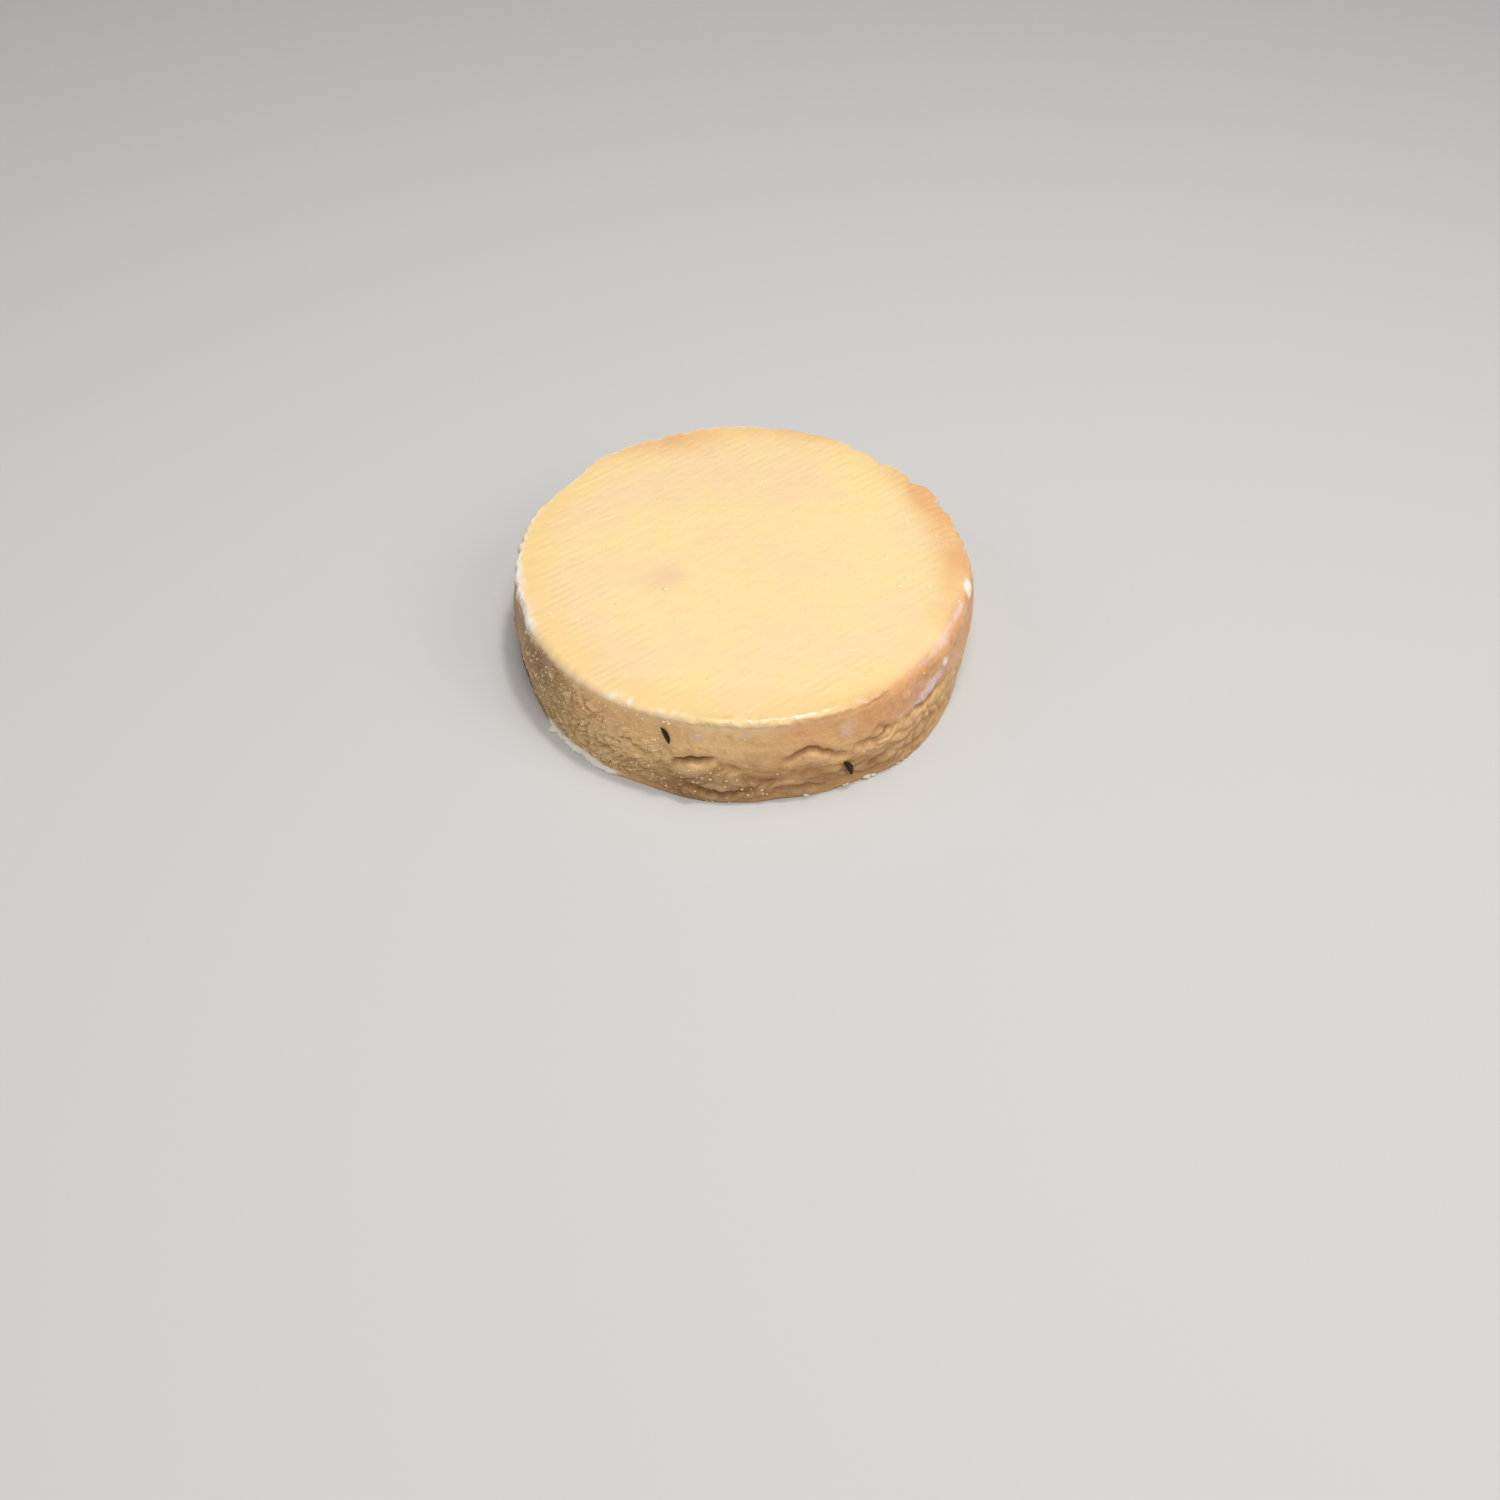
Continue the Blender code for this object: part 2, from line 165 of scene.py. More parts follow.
def outline(angle, z):
    """Circle, scallops and bumps. Scallops and narrow bumps belong to the upper edge and fade out below.

    The scallops are small at the front, where the edge is smooth."""
    kept = 1 - 0.7 * near(angle, SMOOTH_FRONT_AT, SMOOTH_FRONT_SPREAD)
    kept = kept * (0.2 + 0.8 * smooth(z, 0.75 * HEIGHT, 0.97 * HEIGHT))
    scallops = SCALLOPS * kept * waves(angle, z, 43, 10, (35, 110), (0.008, 0.03))
    radius = DIAMETER / 2 - RELIEF_ROOM + scallops
    for at, spread, out in OUTLINE_BUMPS:
        rise = 1 if spread > NARROW_BUMP else smooth(z, 0.35 * HEIGHT, 0.9 * HEIGHT)
        radius = radius + out * near(angle, at, spread) * rise
    return radius


def edge_round(angle):
    """The sharp rounding of the upper edge, plus a wide bump at the right and a small one at the left."""
    soft = (SOFT_EDGE - SHARP_EDGE) * near(angle, SOFT_EDGE_AT, SOFT_EDGE_SPREAD)
    return SHARP_EDGE + soft + LEFT_ROUND * near(angle, LEFT_ROUND_AT, LEFT_ROUND_SPREAD)


def flap_relief(angle, z):
    """A step across the angles times a step up to the edge."""
    across = 1 - smooth(np.abs(turn_from(angle, FLAP_AT)), FLAP_SPREAD - 1.2, FLAP_SPREAD)
    return FLAP_OUT * across * smooth(z, HEIGHT - FLAP_HEIGHT, HEIGHT - 0.0015)


print("edge rounding, mm:", [round(float(1000 * edge_round(a)), 2) for a in (180, 270, 300, 335)])

# %% [markdown]
# ## Creases and puckers
# As a washed cheese loses water its rind grows too big for it and folds. Each big crease here is a
# groove along an arched line: dark and narrow, with a puffed lip under it. Between the creases the
# lower side is lumpy. The lumps are puffed cells round jittered points, with soft valleys where two
# cells meet. The far side isn't in the photo's view, so it gets random creases of the same kind.

# %% Creases, lumps and knobs
CREASES = (
    # depth, then points along the line: (angle, height in millimetres)
    (0.0013, (253.6, 10.6), (256.0, 11.5), (259.6, 12.2), (262.5, 12.9), (264.4, 12.6)),
    (0.0005, (264.3, 11.8), (267.2, 11.1), (270.6, 10.2)),
    (
        0.0011, (279.0, 12.3), (281.4, 12.5), (284.9, 14.6), (287.6, 14.3), (289.6, 13.2), (293.4, 10.9),
        (296.0, 10.6),
    ),
    (0.0008, (296.4, 11.1), (299.5, 12.1), (303.2, 11.7), (307.0, 12.9), (310.5, 12.2)),
    (0.0007, (311.0, 11.2), (315.7, 12.4), (321.3, 11.8), (325.0, 13.0), (329.0, 12.4)),
    (0.0009, (256.0, 4.4), (260.4, 3.9), (262.8, 3.0), (267.0, 2.8), (271.6, 4.0), (275.0, 4.8)),
    (0.0006, (277.0, 3.4), (281.2, 3.8), (286.0, 3.5), (291.2, 2.6)),
    (0.0005, (299.6, 2.8), (305.0, 2.3), (310.4, 2.5)),
    (0.0006, (301.0, 4.3), (304.5, 5.6), (307.4, 6.8)),
    (0.0006, (301.6, 13.4), (304.2, 14.9), (307.4, 12.7)),
    (0.0005, (271.0, 7.9), (275.5, 6.7), (279.4, 7.3)),
    (0.0004, (280.0, 7.9), (285.2, 8.2), (290.0, 7.2)),
    (0.0005, (240.0, 12.6), (243.0, 13.0), (247.0, 11.0), (250.4, 9.6)),
    (0.0003, (231.5, 7.6), (236.0, 7.9), (241.5, 6.5)),
    (0.0005, (331.0, 5.8), (336.0, 4.9), (342.0, 5.2)),
)
KNOBS = (
    # angle, height, radius, how far out
    (313.3, 0.0180, 0.0011, 0.00065),
    (252.4, 0.0108, 0.0010, 0.00040),
    (258.8, 0.0095, 0.0022, 0.00070),
    (287.6, 0.0121, 0.0018, 0.00060),
    (280.6, 0.0058, 0.0020, 0.00045),
    (300.0, 0.0100, 0.0015, 0.00035),
    (309.5, 0.0045, 0.0020, 0.00045),
    (266.5, 0.0052, 0.0024, 0.00040),
    (283.0, 0.0052, 0.0017, 0.00035),
    (218.0, 0.0172, 0.0014, 0.00040),
    (222.5, 0.0168, 0.0011, 0.00035),
    (226.9, 0.0200, 0.0010, 0.00030),
    (244.7, 0.0105, 0.0022, 0.00045),
    (236.7, 0.0060, 0.0020, 0.00035),
)
HIDDEN_CREASES, HIDDEN_FROM, HIDDEN_TO = 16, -10, 178
GROOVE_SHARE = 0.85
CREASE_SWELLS = (
    # share of the crease's depth, place and half width in crease widths
    (0.55, -3.0, 2.2),
    (0.28, 3.0, 2.6),
)
COBBLED_HEIGHT = 0.024
STRONG_PUCKERS = (
    # how much stronger, angle, half width in degrees
    (0.42, 316, 40),
    (0.20, 264, 20),
)
FINE_PUCKERS_AT = 228


def all_creases():
    """The creases of the near side, and about as many drawn at random for the far side."""
    draw = np.random.RandomState(5)
    found = list(CREASES)
    for start in np.linspace(HIDDEN_FROM, HIDDEN_TO, HIDDEN_CREASES):
        corners = draw.randint(4, 7)
        at = start + np.cumsum(draw.uniform(2.2, 5.0, corners))
        level = draw.choice((3.5, 8.0, 12.5)) + np.cumsum(draw.uniform(-1.3, 1.3, corners))
        found.append((draw.uniform(0.0006, 0.0012), *zip(at, np.clip(level, 1.6, 16.0))))
    return found


def crease_line(angle, points):
    """Height of a crease at each angle, eased from point to point by the S curve, and how it fades."""
    at, level = np.array(points).T
    along, steps = turn_from(angle, at[0]), at - at[0]
    piece = np.clip(np.searchsorted(steps, along, side="right") - 1, 0, len(at) - 2)
    share = smooth((along - steps[piece]) / (steps[piece + 1] - steps[piece]), 0, 1)
    line = (level[piece] + (level[piece + 1] - level[piece]) * share) / 1000
    return line, np.sin(math.pi * np.clip(along / steps[-1], 0, 1)) ** 0.6


def crease_relief(angle, z):
    """Each crease is -exp(-t^2) across its line, plus a wide lip below and a slight swell above.

    t is the height over the line in crease widths. Returns the relief, and how deep in a groove it is."""
    relief = np.zeros(np.broadcast(angle, z).shape)
    crease_shade = np.zeros(relief.shape)
    for depth, *points in all_creases():
        line, fade = crease_line(angle, points)
        off = (z - line - CREASE_WOBBLE * waves(angle, 0, 29, 6, (60, 140), (1, 2))) / CREASE_WIDTH
        groove = fade * depth * np.exp(-(off**2))
        swells = sum(share * np.exp(-(((off - at) / wide) ** 2)) for share, at, wide in CREASE_SWELLS)
        relief += fade * depth * swells - GROOVE_SHARE * groove
        # The groove's depth is kept as the crease shade, which is later painted as shade in the grooves.
        crease_shade += groove
    return relief, crease_shade


def knob_relief(angle, z):
    """A few single round bumps: exp(-(distance / radius)^2)."""
    relief = np.zeros(np.broadcast(angle, z).shape)
    for at, height, radius, out in KNOBS:
        aside = np.radians(turn_from(angle, at)) * DIAMETER / 2
        relief += out * np.exp(-(aside**2 + (z - height) ** 2) / radius**2)
    return relief


def cobbles(angle, z, wide, tall, seed):
    """Puffed cells with soft valleys between, from 0 to 1, and a random number for each cell.

    Cell centres are a jittered brick grid, turns counted as lengths. With the distances to the nearest
    and the next centre as a and b, in cell sizes, the puff is 1 - exp(-3 (b - a)), eased off towards
    the cell's own rim by 1 - a^2 / 2."""
    draw = np.random.RandomState(seed)
    around = int(math.pi * DIAMETER / wide)
    rows = int(COBBLED_HEIGHT / tall) + 3
    jitter = draw.uniform(-0.42, 0.42, (rows, around, 2))
    level = draw.uniform(0, 1, (rows, around))
    u = (angle % 360) / 360 * around - 0.25 * z / wide
    v = z / tall
    first = np.full(np.broadcast(u, v).shape, 9.0)
    second, chosen = first.copy(), first.copy()
    row, column = np.floor(v).astype(int), np.floor(u).astype(int)
    for down in (-1, 0, 1):
        for aside in (-1, 0, 1):
            i, j = np.clip(row + down + 1, 0, rows - 1), (column + aside) % around
            du = column + aside + 0.5 + jitter[i, j, 0] - u
            dv = row + down + 0.5 + jitter[i, j, 1] - v
            away = np.sqrt(du**2 + dv**2)
            nearest = away < first
            second = np.where(nearest, first, np.minimum(second, away))
            chosen = np.where(nearest, level[i, j], chosen)
            first = np.where(nearest, away, first)
    puff = (1 - np.exp(-3 * (second - first))) * (1 - np.clip(first, 0, 1) ** 2 / 2)
    return puff, chosen


def pucker_relief(angle, z):
    """Big cells, small cells and a slow swell, each scaled by where on the side it is."""
    bent = angle + 1.2 * waves(angle, z, 11, 8, (8, 22), (0.006, 0.012))
    level = z + 0.0007 * waves(angle, z, 13, 8, (10, 30), (0.006, 0.012))
    big, height_of = cobbles(bent, level, 0.0042, 0.0031, 17)
    small, small_of = cobbles(bent, level, 0.0028, 0.0018, 19)
    swell = waves(angle, z, 23, 8, (3, 11), (0.03, 0.08))
    low = 1 - smooth(z, PUCKER_TOP - 0.0055, PUCKER_TOP + 0.0005)
    rough_top = PUCKER_TOP + 0.0060 * near(angle, 226, 40)
    rough = 1 - smooth(z, rough_top - 0.005, rough_top + 0.002)
    strong = 0.45 + sum(more * near(angle, at, spread) for more, at, spread in STRONG_PUCKERS)
    far = span_share(angle, 350, 210)
    lumps = 1.05 * (big - 0.4) * (0.5 + height_of) * low * np.maximum(strong, 0.5 * far)
    fine = (0.18 + 0.60 * near(angle, FINE_PUCKERS_AT, 40)) * (small - 0.4) * (0.2 + 1.6 * small_of) * rough
    return PUCKER_DEPTH * (lumps + fine + 0.16 * swell)


print("creases:", len(all_creases()), "knobs:", len(KNOBS))

# %% [markdown]
# ## The foot
# Where a soft cheese rests, its rind spreads into a thin lip. At the left front it was pressed out
# into a ragged white flange, with one torn corner. It is thinner than a millimetre, so it is made by
# letting the wall step outwards only in the lowest rows of the grid, which are packed closely there.

# %% Foot, flange and wall
FOOT_LIP, FLANGE_OUT, FLANGE_AT, FLANGE_SPREAD = 0.0003, 0.0009, 227, 19
TORN_AT, TORN_OUT = 217.3, 0.0014
FOOT_BUMPS = (
    # angle, half width in degrees, how far out
    (206, 20, -0.0007),
    (236, 5, 0.0006),
    (263, 19, 0.0012),
    (274, 6, 0.0004),
    (289, 18, 0.0006),
    (315, 20, 0.0018),
    (352, 22, -0.0012),
)
FOOT_BUMP_TOP = 0.014


def flange_out(angle):
    """How far the flange reaches: a round bump to a low power, times ragged waves, plus the torn corner."""
    ragged = 1 + 0.16 * waves(angle, 0, 31, 6, (25, 60), (1, 2))
    ragged = ragged + 0.12 * waves(angle, 0, 37, 9, (90, 240), (1, 2))
    torn = TORN_OUT * np.clip(1 - np.abs(turn_from(angle, TORN_AT)) / 1.3, 0, 1)
    return FLANGE_OUT * near(angle, FLANGE_AT, FLANGE_SPREAD) ** 0.6 * ragged + torn


def foot_relief(angle, z):
    """Bumps that fade out upwards, and the lip and the flange, cut off just above the foot."""
    spread = sum(out * near(angle, at, half) for at, half, out in FOOT_BUMPS)
    lip = (1 - smooth(z, 0.0005, 0.0010)) * (FOOT_LIP + flange_out(angle))
    return lip + spread * (1 - smooth(z, 0.001, FOOT_BUMP_TOP))


def wall_radius(angle, z):
    """Distance of the rind from the wheel's axis, and a stack of crease depth and of all its relief."""
    lean = TOP_LEAN * smooth(z, 0.55 * HEIGHT, HEIGHT) + FOOT_LEAN * (1 - smooth(z, 0, 0.35 * HEIGHT))
    creases, crease_shade = crease_relief(angle, z)
    relief = (creases + pucker_relief(angle, z) + knob_relief(angle, z)) * smooth(z, 0, 0.0016)
    radius = outline(angle, z) - lean + relief + foot_relief(angle, z) + flap_relief(angle, z)
    return radius, np.stack([crease_shade * smooth(z, 0, 0.0016), relief])


def top_edge_radius(angle):
    """Where the flat top begins, inside the rounded edge."""
    rounding = edge_round(angle)
    return wall_radius(angle, HEIGHT - rounding)[0] - rounding


angles_shown = np.array([180.0, 217.0, 270.0, 335.0])
print("foot radius, mm:", np.round(1000 * wall_radius(angles_shown, 0.0003)[0], 1))

# %% [markdown]
# ## The mat's ridges
# The draining mat is woven of parallel strips two millimetres apart. Their print is a cosine across
# the strips. A real print wavers, is smeared in places and dies out where the edge slumped, so clouds
# bend its phase and scale its depth. The ridges could be a bump map, but along the rim they notch the
# edge itself.

# %% Height of the top and of the underside
DIMPLES = (
    # x, y, radius of the ring, how deep
    (0.0368, -0.0072, 0.0017, 0.00020),
    (0.0280, -0.0066, 0.0013, 0.00014),
    (0.0388, 0.0143, 0.0014, 0.00009),
    (-0.0280, -0.0150, 0.0009, 0.00009),
    (-0.0175, -0.0101, 0.0010, 0.00010),
)
# Where the print dies out: angle, half width in degrees, and the shares of the radius where that
# starts and ends.
SLUMPED = (325, 50, 0.76, 0.92)
ROLLED = (225, 80, 0.93, 0.96)
PRINT_CHANGES = (
    # how much more of the print, then angle, half width and shares of the radius as above
    (0.45, 205, 60, 0.50, 0.86),
    (-0.25, 262, 40, 0.45, 0.75),
    (0.50, 15, 40, 0.70, 0.90),
)
TOP_GRAIN = 0.00003


def ridge_frame(x, y):
    """Turns a point so that its first number is across the ridges and its second along them."""
    heading = math.radians(RIDGE_HEADING)
    return x * math.sin(heading) - y * math.cos(heading), x * math.cos(heading) + y * math.sin(heading)


def ridge_print(x, y):
    """Cosine across the strips, from -1 in the valleys to 0 on the crests, its phase bent by clouds."""
    across, along = ridge_frame(x, y)
    bent = across + 0.00010 * clouds(x, y, 0, 0.014, 51) + 0.00012 * clouds(x, y, 0, 0.0055, 52)
    return 0.5 * np.cos(2 * math.pi * bent / RIDGE_PITCH) - 0.5


def edgeward(x, y, at, spread, begin, end):
    """A bump at one angle times a step outwards, from one share of the radius to another."""
    facing, away = np.degrees(np.arctan2(y, x)), np.hypot(x, y) / (DIAMETER / 2)
    return near(facing, at, spread) * smooth(away, begin, end)


def ridge_strength(x, y):
    """How well the print has kept: 1 where crisp, less in the middle and where smeared or slumped."""
    smeared = smooth(clouds(x, y, 0, 0.0055, 53), -0.7, 1.8)
    outer = 0.35 + 0.60 * smooth(np.hypot(x, y) / (DIAMETER / 2), 0.50, 0.86)
    outer = outer + sum(more * edgeward(x, y, *where) for more, *where in PRINT_CHANGES)
    kept = (1 - 0.65 * edgeward(x, y, *SLUMPED)) * (1 - edgeward(x, y, *ROLLED))
    return (0.12 + 0.88 * smeared) * outer * kept


def top_height(x, y):
    """Height of the top: a slow swell, the print, ring dimples, and a very shallow grain."""
    across, along = ridge_frame(x, y)
    swell = np.sin(46 * x + 1.1) * np.cos(38 * y - 0.7) + 0.6 * np.sin(71 * across + 55 * along)
    print_depth = RIDGE_DEPTH * ridge_print(x, y) * ridge_strength(x, y)
    rings = sum(
        -depth * np.exp(-(((np.hypot(x - cx, y - cy) - wide) / (0.45 * wide)) ** 2))
        for cx, cy, wide, depth in DIMPLES
    )
    return HEIGHT + TOP_SWELL * swell + print_depth + rings + TOP_GRAIN * clouds(x, y, 0, 0.0035, 57)


def under_height(x, y):
    """The underside carries the same print, pushed up into the paste, and rests on its crests."""
    return 0.00008 - 0.7 * RIDGE_DEPTH * ridge_print(x, y) * ridge_strength(y, x)


print("ridges across the top:", int(DIAMETER / RIDGE_PITCH))

# %% [markdown]
# ## One closed skin
# The skin could be a disc grid with all lines meeting in the middle, but then the ridges would need a
# very fine grid everywhere. Instead the lines of the top run along the ridges, seven to a ridge, and
# only the step across them is fine. Where each line meets the edge, a column of the wall starts, so
# top, edge, wall, foot and underside share their vertices and the skin has no seam.

# %% Rim columns
STEPS_PER_RIDGE = 7
RIM_REACH = 0.88
CAP_PARTS = 43
TOP_PARTS = 70
UNDER_PARTS = 16


def mat_radius(angle):
    """The smooth curve, just inside the edge, where the lines along the ridges end."""
    return DIAMETER / 2 - TOP_LEAN - edge_round(angle) - MAT_INSET


def rim_turns(side):
    """Turns at which the lines meet that curve, from one end of the ridge frame to the other.

    cos(turn) = distance across / radius is solved by a few rounds. Equal steps fill the two ends."""
    step = RIDGE_PITCH / STEPS_PER_RIDGE
    reach = int(RIM_REACH * mat_radius(SOFT_EDGE_AT) / step)
    across = np.arange(reach, -reach - 1, -1) * step
    turns = np.arccos(across / (DIAMETER / 2))
    for _ in range(20):
        turns = np.arccos(across / mat_radius(side * np.degrees(turns) + RIDGE_HEADING - 90))
    turns = side * np.degrees(turns)
    shares = np.arange(1, CAP_PARTS) / CAP_PARTS
    finish = side * 180 + (turns[-1] - side * 180) * shares[::-1]
    return np.concatenate([turns[0] * shares, turns, finish])


turns = np.concatenate([[0], rim_turns(1), [180], rim_turns(-1)[::-1]])
angles = turns + RIDGE_HEADING - 90
columns = len(angles)
chords = columns // 2 - 1
print("columns:", columns, "lines over the top:", chords)

# %% [markdown]
# The wall's rows are a profile carried round the wheel. From the underside it goes round the foot, up
# the wall, over the edge as a quarter circle, and a few rows onto the flat top.

# %% Profile rows
FOOT_ROWS = (0.00010, 0.00025, 0.00042, 0.00060, 0.00080, 0.00100, 0.00125)
WALL_ROWS = 72
EDGE_ROWS = 12
BORDER_ROWS = 4


def wheel_points(radius, angle, z):
    """Points at a distance from the wheel's axis, at an angle in degrees and a height."""
    facing = np.radians(angle)
    return np.stack([radius * np.cos(facing), radius * np.sin(facing), z], axis=-1)


def wall_grid(angles):
    """Points of every profile row at every angle, as (rows, columns, 3), and their depth and relief."""
    facing = np.radians(angles)
    rounding = edge_round(angles)
    low = np.repeat(np.array(FOOT_ROWS)[:, None], len(angles), axis=1)
    shares = np.linspace(0, 1, WALL_ROWS)[1:, None]
    heights = np.vstack([low, low[-1] + (HEIGHT - rounding - low[-1]) * shares])
    radii, marks = wall_radius(angles, heights)
    foot_radius = radii[0] - FOOT_EDGE
    foot_height = under_height(foot_radius * np.cos(facing), foot_radius * np.sin(facing)) * 0.5
    inner = top_edge_radius(angles)
    inner_height = top_height(inner * np.cos(facing), inner * np.sin(facing))
    arc = np.radians(90 * np.arange(1, EDGE_ROWS + 1) / EDGE_ROWS)[:, None]
    edge_radii = inner + (radii[-1] - inner) * np.cos(arc)
    edge_heights = heights[-1] + (inner_height - heights[-1]) * np.sin(arc)
    share = np.arange(1, BORDER_ROWS + 1)[:, None] / BORDER_ROWS
    border_radii = inner + (mat_radius(angles) - inner) * share
    border_heights = top_height(border_radii * np.cos(facing), border_radii * np.sin(facing))
    radii = np.vstack([foot_radius, radii, edge_radii, border_radii])
    heights = np.vstack([foot_height, heights, edge_heights, border_heights])
    marks = np.pad(marks, ((0, 0), (1, EDGE_ROWS + BORDER_ROWS), (0, 0)))
    return wheel_points(radii, angles, heights), marks


wall, wall_marks = wall_grid(angles)
widest = np.hypot(wall[..., 0], wall[..., 1]).max()
print("wall grid:", wall.shape[:2], "widest, mm:", round(2000 * widest, 2))

# %% Lines over the top and under the foot
def lines_between(rim, parts, height):
    """Straight lines from each column of one half of the rim to its partner in the other half.

    A point is left * (1 - share) + right * share, lifted to the height at its place."""
    left, right = rim[1 : chords + 1], rim[:chords + 1:-1]
    share = (np.arange(1, parts) / parts)[None, :, None]
    points = left[:, None] * (1 - share) + right[:, None] * share
    points[..., 2] = height(points[..., 0], points[..., 1])
    return points


top = lines_between(wall[-1], TOP_PARTS, top_height)
under = lines_between(wall[0], UNDER_PARTS, under_height)
print("points on the top:", top.shape[0] * top.shape[1], "and under it:", under.shape[0] * under.shape[1])

# %% Join the grids into faces
def grid_faces(numbers, closed):
    """Quads between neighbours of a grid of vertex numbers, wound so that they face outwards."""
    if closed:
        numbers = np.hstack([numbers, numbers[:, :1]])
    corners = (numbers[:-1, :-1], numbers[:-1, 1:], numbers[1:, 1:], numbers[1:, :-1])
    return np.stack(corners, axis=-1).reshape(-1, 4)


def line_faces(rim, first, parts):
    """Quads between the lines, and fans that close the two ends at the rim's own end columns."""
    inside = first + np.arange(chords * (parts - 1)).reshape(chords, parts - 1)
    grid = np.hstack([rim[1 : chords + 1, None], inside, rim[:chords + 1:-1, None]])
    quads = grid_faces(grid.T, False)
    starts = np.stack([np.full(parts, rim[0]), grid[0, :-1], grid[0, 1:]], axis=1)
    ends = np.stack([np.full(parts, rim[chords + 1]), grid[-1, 1:], grid[-1, :-1]], axis=1)
    return quads, np.vstack([starts, ends])


numbers = np.arange(wall.shape[0] * columns).reshape(wall.shape[0], columns)
top_first = numbers.size
under_first = top_first + top.shape[0] * top.shape[1]
top_quads, top_fans = line_faces(numbers[-1], top_first, TOP_PARTS)
under_quads, under_fans = line_faces(numbers[0], under_first, UNDER_PARTS)
skin_points = np.vstack([wall.reshape(-1, 3), top.reshape(-1, 3), under.reshape(-1, 3)])
skin_faces = [grid_faces(numbers, True), top_quads, top_fans, under_quads[:, ::-1], under_fans[:, ::-1]]


def mesh_object(name, points, faces):
    """A mesh object from an array of points and arrays of faces, smooth shaded, at the origin."""
    mesh = bpy.data.meshes.new(name)
    mesh.from_pydata(points.tolist(), [], [face for group in faces for face in group.tolist()])
    mesh.shade_smooth()
    obj = bpy.data.objects.new(name, mesh)
    bpy.context.scene.collection.objects.link(obj)
    return obj


def add_mask(obj, name, values):
    """Stores one number for each point of a mesh, for a shader to read by its name."""
    layer = obj.data.attributes.new(name, "FLOAT", "POINT")
    layer.data.foreach_set("value", values.astype(np.float32))


skin = mesh_object("cheese_rind", skin_points, skin_faces)
triangles = sum(len(group) * (group.shape[1] - 2) for group in skin_faces)
print("skin:", len(skin_points), "points,", triangles, "triangles")

# %% [markdown]
# ## Painting with masks
# A shader knows where a point is but not what it is: a groove, a lip, the crisp edge. The formulas
# know, so each of them leaves a mask on the points, a number from 0 to 1 that the shader reads as an
# attribute. Vertex masks could be painted by hand with a brush; worked out from the shape, they
# follow every crease exactly.

# %% Where each point is
angle = np.degrees(np.arctan2(skin_points[:, 1], skin_points[:, 0])) % 360
radius = np.hypot(skin_points[:, 0], skin_points[:, 1])
height = skin_points[:, 2]
x, y = skin_points[:, 0], skin_points[:, 1]
rounding = edge_round(angle)
crease_shade, lump = np.pad(wall_marks.reshape(2, -1), ((0, 0), (0, len(skin_points) - wall.shape[0] * columns)))
inset = top_edge_radius(angle) + rounding - radius
profile = height + np.clip(inset, 0, 1)
ragged = clouds(x, y, height, 0.0030, 61)
coarse = clouds(x, y, height, 0.0100, 63)
upwards = height > HEIGHT / 2
topness = upwards * smooth(inset + 0.0002 * coarse, 0.0002 + 0.12 * rounding, 0.50 * rounding)
print("share of the points on the top:", round(float((topness > 0.5).mean()), 2))


def patch(at, level, wide, tall, edge=0.6):
    """A ragged oval on the side or the edge: 1 inside, 0 outside, its rim broken up by clouds.

    Its level is a length up the wall and on over the edge: height + how far in from the wall."""
    aside = turn_from(angle, at) / wide
    distance = np.sqrt(aside**2 + ((profile - level) / tall) ** 2) + 0.13 * ragged + 0.08 * coarse
    return 1 - smooth(distance, 1 - edge, 1 + edge)


def spot(at_x, at_y, wide, tall, lean, edge=0.8):
    """A soft oval on the top, leaning by an angle in degrees."""
    c, s = math.cos(math.radians(lean)), math.sin(math.radians(lean))
    u, v = (x - at_x) * c + (y - at_y) * s, (y - at_y) * c - (x - at_x) * s
    distance = np.sqrt((u / wide) ** 2 + (v / tall) ** 2) + 0.12 * coarse
    return (1 - smooth(distance, 1 - edge, 1 + edge)) * topness


def streaks(*places):
    """The largest of several patches given as (angle, level in millimetres, wide, tall in millimetres)."""
    return np.max([patch(at, level / 1000, wide, tall / 1000) for at, level, wide, tall in places], axis=0)


def span(first, last, soft):
    """1 on the skin between two angles, with soft ends."""
    return span_share(angle, first, last, soft)


# %% [markdown]
# The peach mask warms the upper band of the side at the front right, the slumped edge and a patch at
# the back, and the bevel mask makes that edge's own slope orange. The drab mask greys the low side,
# where the rind stays damp. The low mask is painted shade: it darkens the side towards the bottom. The
# shaded mask is painted shade too: it browns the far left, which faces away from the lamps. The gold
# mask deepens the yellow just inside the left edge. Under the edge the top's cream comes down a little:
# that is painted light, standing in for the light inside a soft cheese.

# %% Peach, bevel, drab, low, shaded and gold
PEACH_EDGE = (
    # share, where on the radius it starts, then first and last angle and softness
    (0.95, 0.76, -20, 44, 16),
    (0.90, 0.90, -66, -16, 12),
    (0.30, 0.86, 60, 150, 20),
)
PEACH_SPOTS = (
    # share, then x, y, half length, half width and lean
    (0.55, -0.019, 0.0455, 0.013, 0.0055, 8),
    (0.35, 0.012, 0.049, 0.012, 0.003, -12),
    (0.80, 0.0440, 0.0262, 0.0042, 0.0028, -60),
)
top_share = radius / (DIAMETER / 2)
upper = smooth(height, 0.0115, 0.0165)
side = 1 - topness
